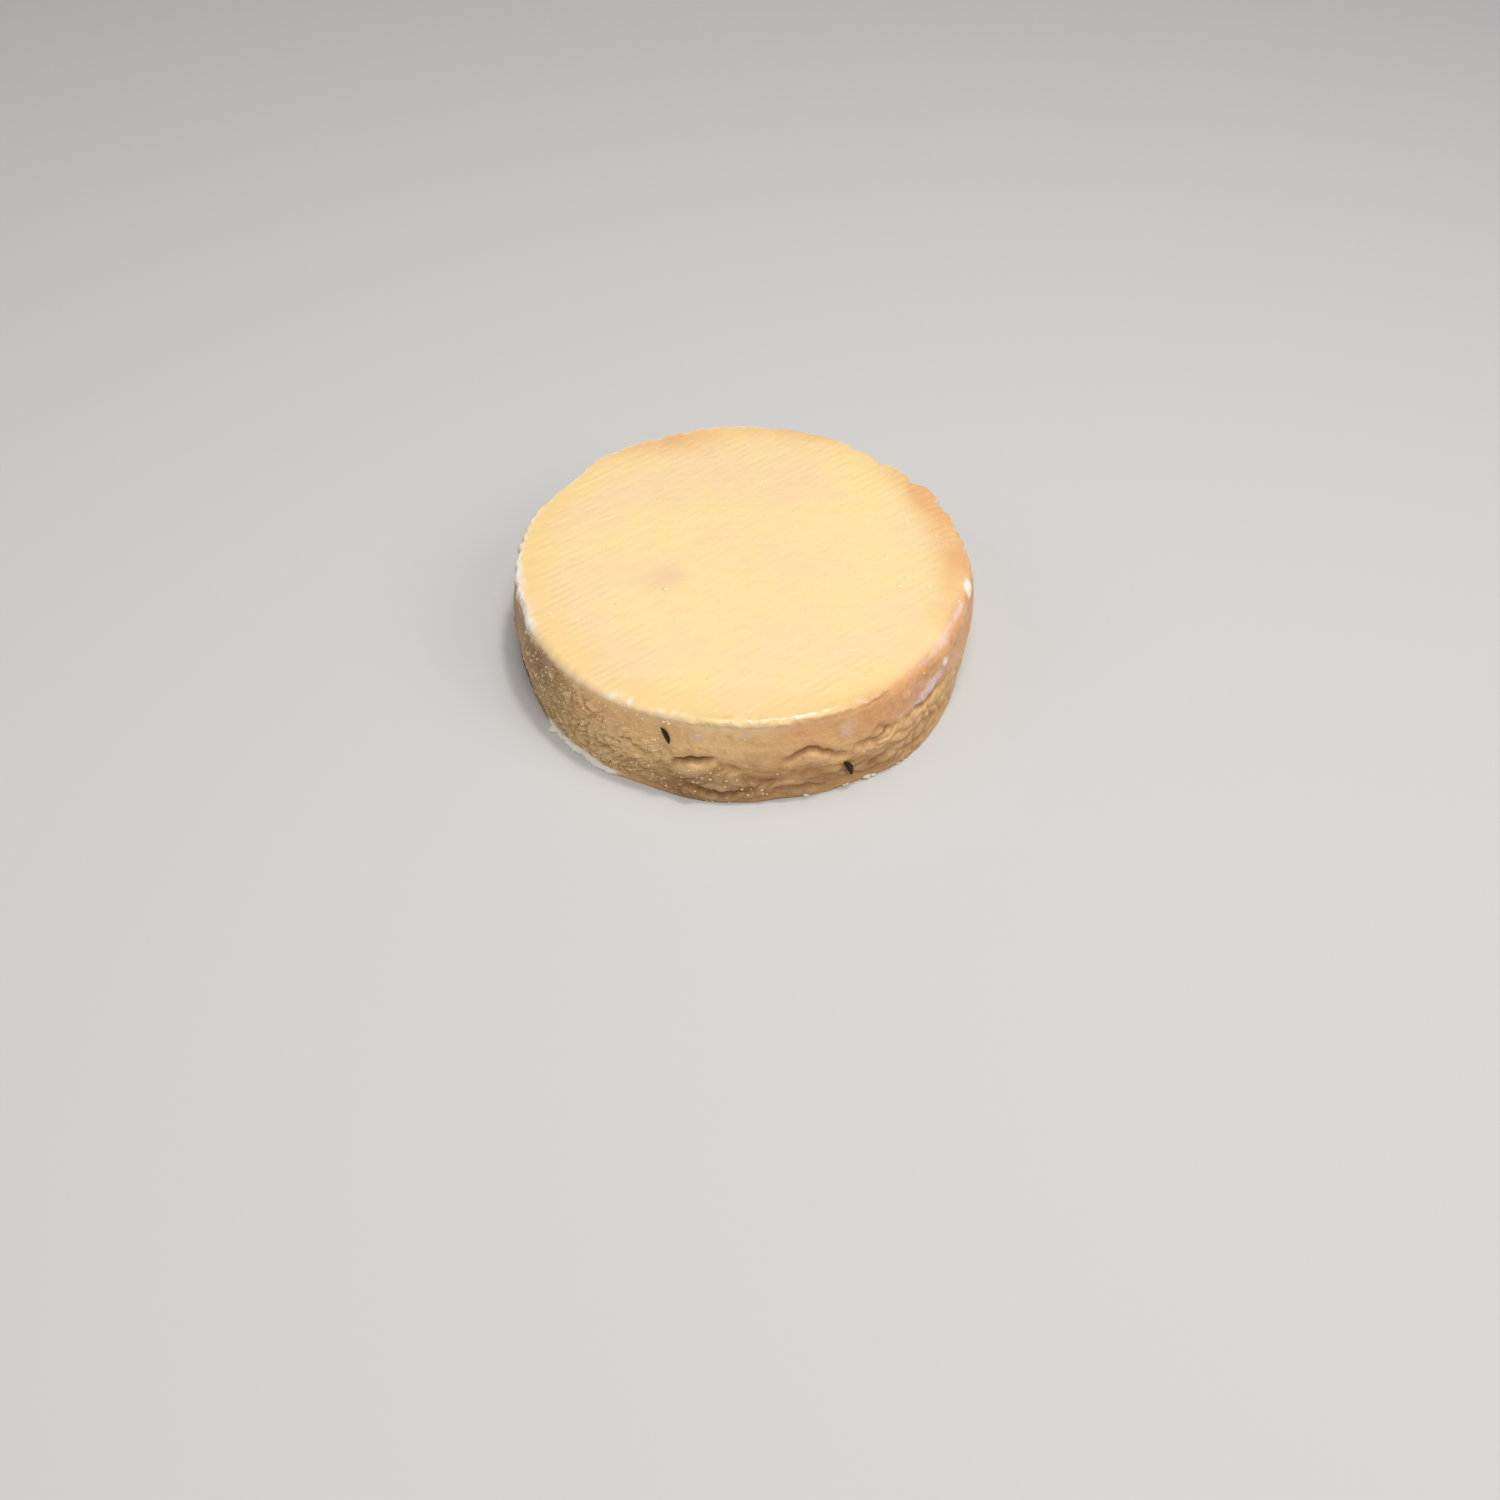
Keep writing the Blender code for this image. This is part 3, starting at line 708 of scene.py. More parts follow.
# Painted light: rim_glow brings the top's cream down the wall just under the edge, for light that comes
# through the paste.
rim_glow = smooth(height + 0.0003 * coarse, HEIGHT - 0.0040, HEIGHT - 0.0009)
rim_glow = rim_glow * np.maximum(span(202, 302, 12), span(20, 190, 12))
peach = side * upper * (0.85 * span(279, 352, 9) + 0.35 * span(230, 256, 8))
peach = peach + side * 0.30 * span(272, 345, 10) * (1 - upper)
for share, start, *turn in PEACH_EDGE:
    peach = peach + share * topness * smooth(top_share, start, 0.97) * span(*turn)
for share, *oval in PEACH_SPOTS:
    peach = peach + share * spot(*oval)
peach = np.clip(peach * (1 + 0.18 * coarse), 0, 1)
bevel = side * span(-62, 10, 12) * smooth(height, 0.0120, 0.0160)
slope_haze = bevel * span(314, 354, 5)
bevel = np.clip(bevel * (1 + 0.15 * coarse), 0, 1)
drab = side * (1 - smooth(height, 0.0085, 0.0165)) * (0.15 + 0.35 * span(206, 244, 12))
drab = drab * (1 - 0.8 * span(150, 206, 10))
drab = np.clip(drab * (1 + 0.35 * coarse), 0, 1)
# The low mask is painted shade: the side darker towards the bottom, most at the front and front right, a
# little less just at the foot there.
low = side * (1 - smooth(height, 0.0040, 0.0130)) * (0.35 + 0.65 * span(252, 322, 12))
low = np.clip(low + 0.30 * side * (1 - smooth(height, 0.0100, 0.0165)) * span(250, 284, 10), 0, 1)
low = low * (1 - 0.25 * span(282, 332, 8) * (1 - smooth(height, 0.0012, 0.0045)))
# The shaded mask is painted shade on the far left, which faces away from the lamps.
shaded = side * span(150, 222, 14)
gold = topness * smooth(top_share, 0.74, 0.93) * (0.55 + 0.45 * span(140, 300, 30))
gold = np.clip(gold * (1 + 0.15 * coarse), 0, 1)
smudge = np.clip(0.9 * spot(-0.018, -0.007, 0.0045, 0.0030, 30), 0, 1)
for name, mask in (("peach", peach), ("drab", drab), ("gold", gold), ("smudge", smudge)):
    print(name, "mean", round(float(mask.mean()), 3))

# %% [markdown]
# Bloom is the white mould and dried brine that stays where the washing cloth doesn't reach: a bead
# along the crisp edge, lilac smears on the slumped one, two thick white spots, the rag of the flange.
# Where the front edge is wet it shines instead, so there the roughness falls. The one small crease in
# the edge is too fine for the grid, so it is only painted shade: its dark line joins the crease shade.
# The bloom mask may pass 1, so that its thickest parts stay white where the noise frays the rest.

# %% Bloom, lilac, wetness and relief
LILAC_SMEARS = (
    # share, then patches: angle, level in millimetres, half width in degrees, half height in millimetres
    (
        1.10, (325.1, 16.2, 2.2, 1.1), (322.8, 15.3, 2.4, 1.3), (320.4, 14.3, 2.4, 1.4),
        (316.9, 13.4, 2.4, 0.9),
    ),
    (0.62, (343.5, 23.6, 2.6, 0.9), (340.0, 24.3, 2.6, 0.8), (336.6, 24.8, 2.2, 0.7)),
    (0.42, (331.2, 24.0, 3.0, 1.3), (327.8, 23.4, 3.0, 0.7), (322.5, 23.2, 3.2, 0.6)),
    (0.16, (334.5, 14.5, 3.0, 2.2), (344.0, 20.0, 4.0, 1.6), (318.0, 17.5, 2.4, 1.0)),
    (0.40, (260.1, 18.5, 1.7, 1.3), (271.4, 19.7, 1.5, 1.0), (296.0, 17.8, 1.9, 2.0)),
    (0.15, (215.2, 18.8, 2.2, 1.2), (247.0, 20.2, 2.0, 0.8), (311.0, 14.2, 2.0, 1.0)),
)
WHITE_SPOTS = ((329.2, 17.9, 0.9, 1.1), (352.8, 23.0, 2.1, 1.5), (351.2, 21.7, 1.4, 0.8))
WET_SPOT = (313.3, 18.2, 1.8, 1.3)
RIM_CREASE = ((303.6, 22.7, 1.0, 0.3), (305.4, 23.0, 1.3, 0.3), (307.3, 23.4, 1.1, 0.3))
FLANGE_TOP, UNDERSIDE = 0.0012, 0.00005
DEEP_HOLLOW = 0.0011
high = smooth(height, HEIGHT - 0.0019, HEIGHT - 0.0010)
rear = span(30, 184, 8)
caked = span(184, 208, 5)
bead_inset, bead_width = 0.0003 + 0.0004 * rear + 0.0003 * caked, 0.00055 + 0.0005 * caked
bead = high * np.exp(-(((inset - bead_inset) / bead_width) ** 2))
torn = smooth(coarse + 0.8 * ragged, -0.3, 0.9)
bead_keep = 1.2 * span(84, 186, 10) * (0.55 + 0.45 * torn) + 1.1 * span(178, 207, 4) * (0.7 + 0.3 * torn)
bead_keep = bead_keep + span(205, 256, 5) * (0.04 + 0.12 * torn) + 0.55 * span(-10, 84, 10) * torn
bloom = bead * bead_keep
thick = high * np.exp(-(((inset - 0.0006) / 0.0012) ** 2))
bloom = bloom + thick * (0.9 * span(236.5, 243, 1.5) + 0.5 * span(250, 256, 2)) * smooth(ragged, -1.0, 0.4)
smear = side * smooth(height, HEIGHT - 0.0042, HEIGHT - 0.0020) * span(182, 206, 4)
bloom = bloom + 0.95 * smear * smooth(ragged + coarse, -1.6, 0.5)
flange = (height > UNDERSIDE) * (height < FLANGE_TOP) * side * span(214.5, 239, 2)
bloom = bloom + 1.5 * flange + 1.4 * streaks(*WHITE_SPOTS)
bloom = np.clip(bloom, 0, 1.5)
lilac = sum(share * streaks(*patches) for share, *patches in LILAC_SMEARS)
lilac = lilac + 0.20 * slope_haze * smooth(0.6 * coarse + 0.8 * ragged, 0.1, 1.3)
lilac = np.clip(lilac, 0, 1)
wet = high * span(252, 308, 8) * np.exp(-(((inset - 0.0007) / 0.0014) ** 2))
wet = wet * smooth(ragged + 0.5 * coarse, -1.6, 0.4) + streaks(WET_SPOT)
wet = np.clip(wet, 0, 1)
# Painted light: the rim glow raises topness on the wall under the edge, so that the cream reaches down
# there.
topness = np.clip(np.maximum(topness, (0.85 + 0.15 * span(202, 244, 8)) * rim_glow), 0, 1)
# Painted shade: groove depth becomes a crease shade, and the edge's small crease gets a dark line without
# depth.
crease_shade = np.clip(crease_shade / DEEP_HOLLOW + 0.75 * streaks(*RIM_CREASE), 0, 1)
# Painted light and shade from the relief: paler on the crests of the side's lumps, darker in the dips.
full_tone = 0.0008 - 0.00050 * near(angle, FINE_PUCKERS_AT, 45)
crest_light = np.clip(side * lump / full_tone, 0, 1)
dip_shade = np.clip(-side * lump / full_tone, 0, 1)
# Painted shade in the valleys of the mat's print on the top.
ridge_valley_shade = -ridge_print(x, y) * ridge_strength(x, y) * topness

# %% Put the masks on the skin
MASKS = dict(
    topness=topness, peach=peach, drab=drab, gold=gold, low=low, shaded=shaded, bevel=bevel, smudge=smudge,
    bloom=bloom, lilac=lilac, wet=wet, crease_shade=crease_shade, crest_light=crest_light, dip_shade=dip_shade, ridge_valley_shade=ridge_valley_shade,
)
for name, mask in MASKS.items():
    add_mask(skin, name, mask)
print("masks:", ", ".join(MASKS))

# %% [markdown]
# ## Nodes in a few words
# Each finish is a Principled shader whose colour is built up in layers: start from the paste's colour,
# then mix in one tint after another, each through its mask. The helper below adds a node and links or
# sets its inputs by name, so a layer is one line: its mask, its share and its colour.

# %% Helpers for materials
def srgb(red, green, blue):
    """A colour picked as 0 to 255 on screen, as the linear colour that a shader needs."""
    levels = [c / 255 for c in (red, green, blue)]
    return tuple(c / 12.92 if c <= 0.04045 else ((c + 0.055) / 1.055) ** 2.4 for c in levels) + (1.0,)


class Recipe:
    """The nodes of one material or group, added one call at a time."""

    def __init__(self, tree):
        self.tree = tree

    def put(self, socket, value):
        """Links another node's output to a socket, or sets the socket to a value."""
        if isinstance(value, bpy.types.NodeSocket):
            self.tree.links.new(value, socket)
        else:
            socket.default_value = value

    def node(self, kind, settings=None, **inputs):
        """Adds a node. In an input's name an underscore is a space."""
        made = self.tree.nodes.new(kind)
        for name, value in (settings or {}).items():
            setattr(made, name, value)
        for name, value in inputs.items():
            self.put(made.inputs[name.replace("_", " ")], value)
        return made

    def math(self, operation, *values):
        """One operation on one or two values."""
        made = self.tree.nodes.new("ShaderNodeMath")
        made.operation = operation
        for socket, value in zip(made.inputs, values):
            self.put(socket, value)
        return made.outputs[0]

    def mask(self, name):
        """A mask that was stored on the points of the mesh."""
        made = self.tree.nodes.new("ShaderNodeAttribute")
        made.attribute_name = name
        return made.outputs["Fac"]

    def step(self, value, low, high):
        """A smooth step up from low to high, or down where low is the larger."""
        made = self.node("ShaderNodeMapRange", {"interpolation_type": "SMOOTHSTEP"}, Value=value)
        made.inputs["From Min"].default_value = low
        made.inputs["From Max"].default_value = high
        return made.outputs["Result"]

    def noise(self, place, scale, detail, roughness=0.5):
        """Cloudy noise from 0 to 1, about one over scale in size."""
        settings = dict(Vector=place, Scale=scale, Detail=detail, Roughness=roughness)
        return self.node("ShaderNodeTexNoise", **settings).outputs["Fac"]

    def tint(self, share, below, above):
        """The colour below, mixed with the one above by a share."""
        made = self.tree.nodes.new("ShaderNodeMix")
        made.data_type = "RGBA"
        colours = [socket for socket in made.inputs if socket.type == "RGBA"]
        self.put(made.inputs["Factor"], share)
        self.put(colours[0], below)
        self.put(colours[1], above)
        return [socket for socket in made.outputs if socket.type == "RGBA"][0]

    def layers(self, colour, *tints):
        """One tint after another over a colour, each as its mask, share and colour."""
        for mask, share, tint in tints:
            colour = self.tint(self.math("MULTIPLY", mask, share), colour, srgb(*tint))
        return colour


def new_material(name):
    """A material with one Principled shader, and the recipe to add to."""
    material = bpy.data.materials.new(name)
    material.use_nodes = True
    recipe = Recipe(material.node_tree)
    return material, recipe, material.node_tree.nodes["Principled BSDF"]


print("paste colour, linear:", [round(c, 3) for c in srgb(247, 217, 166)])

# %% [markdown]
# ## Grain
# Rind, husk and crumb all have a fine uneven grain. It is one node group, used in each with its own
# size, so that all three look made of real stuff seen through the same lens. It gives a value for
# colour and a height for bump.

# %% Grain group
grain_tree = bpy.data.node_groups.new("fine grain", "ShaderNodeTree")
for name, way in (("Size", "INPUT"), ("Contrast", "INPUT"), ("Value", "OUTPUT"), ("Height", "OUTPUT")):
    grain_tree.interface.new_socket(name, in_out=way, socket_type="NodeSocketFloat")
grain = Recipe(grain_tree)
grain_in = grain_tree.nodes.new("NodeGroupInput")
grain_out = grain_tree.nodes.new("NodeGroupOutput")
place = grain.node("ShaderNodeTexCoord").outputs["Object"]
how_many = grain.math("DIVIDE", 1.0, grain_in.outputs["Size"])
fine = grain.noise(place, how_many, 3.0, 0.6)
centred = grain.math("SUBTRACT", fine, 0.5)
spread = grain.math("MULTIPLY", centred, grain_in.outputs["Contrast"])
grain.put(grain_out.inputs["Value"], grain.math("ADD", spread, 0.5))
grain.put(grain_out.inputs["Height"], fine)
print("grain group:", [item.name for item in grain_tree.interface.items_tree])


def add_grain(recipe, size, contrast):
    """Places the grain group in a material, with its own size in metres and contrast."""
    made = recipe.tree.nodes.new("ShaderNodeGroup")
    made.node_tree = grain_tree
    made.inputs["Size"].default_value = size
    made.inputs["Contrast"].default_value = contrast
    return made


# %% [markdown]
# ## The rind
# Fresh paste shows through a thin rind, so light enters it a little: that is the subsurface weight.
# The top is cream with pinker and yellower clouds. The side is ochre, mottled with brown, rose and
# green-grey. On the lumps of the side, paler crests are painted light and darker dips painted shade.
# Grooves get painted shade in brown, and bloom covers what it touches.

# %% Rind material
rind, r, rind_shader = new_material("washed rind")
place = r.node("ShaderNodeTexCoord").outputs["Object"]
blotch = r.noise(place, 48.0, 3.0, 0.55)
streak_place = r.node("ShaderNodeMapping", {"vector_type": "POINT"}, Vector=place)
streak_place.inputs["Rotation"].default_value = (0, 0, math.radians(-RIDGE_HEADING))
streak_place.inputs["Scale"].default_value = (0.25, 1.0, 1.0)
streak = r.noise(streak_place.outputs[0], 420.0, 2.0)
small = r.noise(place, 260.0, 4.0, 0.6)
mottle = r.noise(place, 170.0, 5.0, 0.65)
pebble = r.noise(place, 560.0, 2.0)

cream = r.tint(r.step(blotch, 0.35, 0.65), srgb(250, 221, 160), srgb(249, 216, 167))
speck = r.node("ShaderNodeTexVoronoi", Vector=place, Scale=620.0, Randomness=1.0).outputs["Distance"]
speck = r.math("MULTIPLY", r.step(speck, 0.22, 0.10), r.step(small, 0.52, 0.64))
cream = r.layers(
    cream,
    (speck, 0.45, (255, 236, 184)),
    (r.mask("gold"), 0.50, (247, 208, 130)),
    # Painted shade in the valleys of the mat's print.
    (r.mask("ridge_valley_shade"), 0.10, (232, 194, 124)),
    (r.step(streak, 0.54, 0.72), 0.12, (236, 196, 138)),
    (r.mask("smudge"), 0.20, (208, 170, 128)),
)

ochre = r.tint(r.step(blotch, 0.35, 0.65), srgb(253, 212, 147), srgb(244, 196, 132))
ochre = r.layers(
    ochre,
    # Painted shade: the low mask darkens the lower side, the shaded mask the far left.
    (r.mask("low"), 0.92, (146, 102, 59)),
    (r.mask("shaded"), 0.90, (134, 96, 50)),
    (r.step(mottle, 0.50, 0.70), 0.48, (188, 136, 82)),
    (r.step(mottle, 0.48, 0.28), 0.50, (232, 190, 144)),
    (r.mask("drab"), r.step(blotch, 0.62, 0.40), (200, 168, 112)),
    # Painted light on the crests of the lumps, painted shade in their dips.
    (r.mask("crest_light"), 0.52, (238, 200, 146)),
    (r.mask("dip_shade"), 0.50, (158, 108, 64)),
    (r.step(pebble, 0.50, 0.72), 0.22, (176, 128, 78)),
)
# Where the rim glow raised topness under the edge, this cream is painted light.
skin_colour = r.tint(r.mask("topness"), ochre, cream)

peach_share = r.math("MULTIPLY", r.mask("peach"), r.math("ADD", r.math("MULTIPLY", small, 0.5), 0.60))
skin_colour = r.tint(r.math("MULTIPLY", peach_share, 0.88), skin_colour, srgb(229, 167, 111))
bevel_colour = r.tint(r.step(mottle, 0.46, 0.62), srgb(230, 164, 108), srgb(204, 142, 102))
skin_colour = r.tint(r.math("MULTIPLY", r.mask("bevel"), 0.58), skin_colour, bevel_colour)
# Painted shade: brown where the crease shade is, in the grooves and along the edge's small crease.
skin_colour = r.tint(r.math("MULTIPLY", r.mask("crease_shade"), 0.75), skin_colour, srgb(140, 92, 52))

fray = r.step(small, 0.36, 0.60)


def frayed(name, share):
    """A mask of which a share is kept only where the small noise is high."""
    return r.math("MULTIPLY", r.mask(name), r.math("ADD", r.math("MULTIPLY", fray, share), 1 - share))


bloom_share = r.math("MINIMUM", frayed("bloom", 0.35), 1.0)
skin_colour = r.tint(bloom_share, skin_colour, srgb(250, 242, 226))
lilac_share = frayed("lilac", 0.55)
skin_colour = r.tint(r.math("MULTIPLY", lilac_share, 0.95), skin_colour, srgb(240, 222, 226))

rind_grain = add_grain(r, 0.0009, 0.6)
shade = r.math("MULTIPLY", r.math("SUBTRACT", 0.5, rind_grain.outputs["Value"]), 0.30)
skin_colour = r.tint(r.math("MAXIMUM", shade, 0.0), skin_colour, srgb(196, 142, 84))
r.put(rind_shader.inputs["Base Color"], skin_colour)

gloss = r.math("SUBTRACT", 0.50, r.math("MULTIPLY", r.mask("wet"), 0.30))
gloss = r.math("ADD", gloss, r.math("MULTIPLY", r.math("ADD", bloom_share, lilac_share), 0.25))
gloss = r.math("ADD", gloss, r.math("MULTIPLY", r.math("SUBTRACT", small, 0.5), 0.25))
r.put(rind_shader.inputs["Roughness"], gloss)
r.put(rind_shader.inputs["Coat Weight"], r.math("MULTIPLY", r.mask("wet"), r.step(mottle, 0.30, 0.55)))
rind_shader.inputs["Coat Roughness"].default_value = 0.16


def add_bump(strength, distance, height, below=None):
    """A bump layer, laid over the bump below it."""
    made = r.node("ShaderNodeBump", Strength=strength, Distance=distance, Height=height)
    if below is not None:
        r.put(made.inputs["Normal"], below)
    return made.outputs[0]


grain_bump = add_bump(0.40, 0.00012, rind_grain.outputs["Height"])
uneven = r.math("ADD", small, r.math("MULTIPLY", speck, 0.25))
lump_bump = add_bump(0.45, 0.00032, uneven, grain_bump)
pebbles = r.math("MULTIPLY", pebble, r.math("SUBTRACT", 1.0, r.mask("topness")))
side_bump = add_bump(0.60, 0.00075, pebbles, lump_bump)
damp_bump = add_bump(0.80, 0.00070, r.math("MULTIPLY", r.mask("wet"), mottle), side_bump)
r.put(rind_shader.inputs["Normal"], damp_bump)
rind_shader.inputs["Subsurface Weight"].default_value = 0.12
rind_shader.inputs["Subsurface Radius"].default_value = (1.0, 0.55, 0.25)
rind_shader.inputs["Subsurface Scale"].default_value = 0.0022
rind_shader.inputs["IOR"].default_value = 1.45
skin.data.materials.append(rind)
print("rind nodes:", len(rind.node_tree.nodes))

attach(skin, "root")
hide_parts("cheese")

# %% [markdown]
# ## Caraway seeds
# A caraway seed is half of a dry fruit: a bowed spindle, five millimetres long, with five thin pale
# ribs and dark skin between them. It is a grid of two parameters, one along the seed and one round
# it. The ribs are cosines round the section, so they run from tip to tip as the real ones do.

# %% Seed shape
SEEDS = (
    # angle, height, lean of the lower end to the right in degrees, length, width
    (252.2, 0.0176, 21, 0.0050, 0.00105),
    (295.8, 0.0060, 23, 0.0056, 0.00145),
)
SEED_BOW = 0.0004
SEED_PROUD = 0.0003
SEED_RINGS, SEED_SIDES = 33, 40
SEED_RIBS, RIB_DEPTH = 5, 0.10
SEED_FLATNESS = 0.9


def closed_rings(rings, sides):
    """Faces of a stack of rings that two points close. The points come after the rings, first end first."""
    numbers = np.arange(rings * sides).reshape(rings, sides)
    after = np.roll(numbers, -1, axis=1)
    first = np.stack([np.full(sides, rings * sides), numbers[0], after[0]], axis=1)
    last = np.stack([np.full(sides, rings * sides + 1), after[-1], numbers[-1]], axis=1)
    return grid_faces(numbers, True)[:, ::-1], first, last


def seed_points(at, level, lean, length, width):
    """Rings round a bowed middle line that lies on the wall; ring radius is width/2 * (1 - s^2)^0.7."""
    s = np.linspace(-1, 1, SEED_RINGS)
    phi = np.linspace(0, 2 * math.pi, SEED_SIDES, endpoint=False)
    ribs = np.cos(SEED_RIBS * phi)
    tilt = math.radians(lean)
    bow = SEED_BOW * (1 - s**2)
    aside = s * length / 2 * math.sin(tilt) + bow * math.cos(tilt)
    z = level - s * length / 2 * math.cos(tilt) + bow * math.sin(tilt)
    facing = np.radians(at) + aside / (DIAMETER / 2)
    seat = wall_radius(np.full(s.shape, float(at)), np.full(s.shape, level))[0].mean() + SEED_PROUD
    out = np.stack([np.cos(facing), np.sin(facing), np.zeros(s.shape)], axis=1)
    right = np.stack([-np.sin(facing), np.cos(facing), np.zeros(s.shape)], axis=1)
    across = right * math.cos(tilt) + np.array([0, 0, math.sin(tilt)])
    middle = seat * out + np.stack([np.zeros(s.shape), np.zeros(s.shape), z], axis=1)
    size = np.clip(1 - s**2, 0, 1) ** 0.7 * width / 2
    section = size[:, None] * (1 + RIB_DEPTH * ribs)
    points = (
        middle[:, None]
        + across[:, None] * (section * np.cos(phi))[..., None]
        + out[:, None] * (section * np.sin(phi) * SEED_FLATNESS)[..., None]
    )
    return points, np.broadcast_to(0.5 + 0.5 * ribs, points.shape[:2])


def seed_object(number, *measures):
    """One seed: the grid without its end rings, closed by a point at each tip."""
    points, rib = seed_points(*measures)
    rings, sides = points.shape[0] - 2, points.shape[1]
    skin_and_tips = np.vstack([points[1:-1].reshape(-1, 3), points[0, 0], points[-1, 0]])
    obj = mesh_object(f"caraway_seed_{number}", skin_and_tips, closed_rings(rings, sides))
    add_mask(obj, "rib", np.append(rib[1:-1].ravel(), (1, 1)))
    return obj


husk, h, husk_shader = new_material("caraway husk")
husk_grain = add_grain(h, 0.0004, 1.2)
husk_colour = h.tint(h.step(h.mask("rib"), 0.62, 0.98), srgb(26, 15, 12), srgb(84, 48, 34))
husk_colour = h.tint(h.step(husk_grain.outputs["Value"], 0.45, 0.85), husk_colour, srgb(58, 28, 22))
h.put(husk_shader.inputs["Base Color"], husk_colour)
husk_shader.inputs["Roughness"].default_value = 0.42
husk_shader.inputs["Specular IOR Level"].default_value = 0.15
husk_bump = h.node("ShaderNodeBump", Strength=0.4, Distance=0.00006, Height=husk_grain.outputs["Height"])
h.put(husk_shader.inputs["Normal"], husk_bump.outputs[0])

for number, measures in enumerate(SEEDS, 1):
    seed = seed_object(number, *measures)
    seed.data.materials.append(husk)
    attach(seed, "root")
    print(seed.name, "faces:", len(seed.data.polygons))

# %% [markdown]
# ## Small round things, all at once
# Pimples and crumbs are both many small uneven balls. One function makes any number of them together:
# a unit ball, scaled along three directions that differ from ball to ball, and moved to its place.
# Particles or instances could scatter them, but a plain mesh can be exported and counted.

# %% Many balls as one mesh
def balls(name, centres, frames, sizes, seed, rough, rings=5, sides=8):
    """point = centre + sum over three directions of (direction * size * unit ball), roughened by clouds."""
    polar = np.linspace(0, math.pi, rings + 2)[1:-1, None]
    phi = np.linspace(0, 2 * math.pi, sides, endpoint=False)
    ring = [np.sin(polar) * np.cos(phi), np.sin(polar) * np.sin(phi), np.cos(polar) + 0 * phi]
    ring = np.stack(ring, axis=-1)
    ball = np.vstack([ring.reshape(-1, 3), [[0, 0, 1], [0, 0, -1]]])
    shift = 9.7 * np.arange(len(centres))[:, None]
    swell = 1 + rough * clouds(ball[:, 0] + shift, ball[:, 1], ball[:, 2], 1.3, seed)
    local = ball[None] * swell[..., None] * sizes[:, None, :]
    points = centres[:, None] + local @ frames
    start = np.arange(len(centres))[:, None, None] * len(ball)
    faces = [(group[None] + start).reshape(-1, group.shape[1]) for group in closed_rings(rings, sides)]
    return mesh_object(name, points.reshape(-1, 3), faces)


def side_frames(at):
    """Right, up and outward directions on the side, one set for each angle in degrees."""
    c, s, nought = np.cos(np.radians(at)), np.sin(np.radians(at)), np.zeros(len(at))
    rows = ([-s, c, nought], [nought, nought, nought + 1], [c, s, nought])
    return np.stack([np.stack(row, axis=1) for row in rows], axis=1)


# %% [markdown]
# ## Pimples
# Brine and fat dry into glossy beads on a washed rind, thickest where the cloth rubbed least: here on
# the left of the side. They are under a millimetre across, half sunk, and catch the lamp as sparks.
# A few sit alone on the top. The biggest of those have the places they have on the real wheel.

# %% Pimples on the side and the top
TOP_PIMPLES = (
    # x and y in millimetres, radius in hundredths of a millimetre before it is widened
    (39.1, 15.1, 42), (39.0, 13.4, 30), (31.0, 11.7, 30), (12.1, 11.9, 30), (33.6, 1.9, 38),
    (34.9, 3.0, 26), (36.0, -8.1, 52), (37.7, -5.3, 32), (42.7, -8.1, 34), (28.6, -7.9, 34),
    (27.7, -4.0, 26), (23.7, -4.8, 26), (16.5, -9.4, 26), (45.6, 9.8, 30), (49.2, -12.4, 32),
    (14.5, -17.0, 30), (16.5, -18.0, 26), (-13.8, 9.5, 34), (-31.7, 4.8, 28), (-33.8, 2.9, 26),
    (-28.1, -15.2, 36), (-36.9, -20.7, 36), (-14.8, -20.7, 28), (-17.5, -10.1, 44), (-43.0, -18.8, 32),
    (-37.9, -16.5, 26), (-27.7, -7.4, 24),
)
TOP_WIDENING = 4 / 3
MORE_TOP_PIMPLES, TOP_REACH = 150, 0.049
TOP_SHAPE = np.array([1.1, 1.0, 0.40])
SIDE_STRETCHES = (
    # first and last angle, how many are drawn
    (201, 256, 900),
    (252, 276, 130),
    (170, 330, 50),
)
THICK_TO, LOW_PIMPLES = 254, 0.0105
SIDE_SHAPE = np.array([1.15, 1.0, 0.62])


def side_pimples():
    """Places drawn at random, kept where waves crowd them, with radii of 0.08 to 0.34 mm.

    Past the front seed only the low ones are kept, but for a few."""
    draw = np.random.RandomState(83)
    at = np.concatenate([draw.uniform(*stretch) for stretch in SIDE_STRETCHES])
    level = draw.uniform(0.0015, 0.0215, len(at))
    crowded = waves(at, level, 87, 10, (20, 50), (0.005, 0.012)) > draw.uniform(-2.2, 0.8, len(at))
    keep = crowded & ((at < THICK_TO) | (level < LOW_PIMPLES) | (draw.uniform(0, 1, len(at)) < 0.15))
    at, level = at[keep], level[keep]
    size = 0.00008 + 0.00026 * draw.power(0.42, len(at))
    return wheel_points(wall_radius(at, level)[0], at, level), side_frames(at), size[:, None] * SIDE_SHAPE


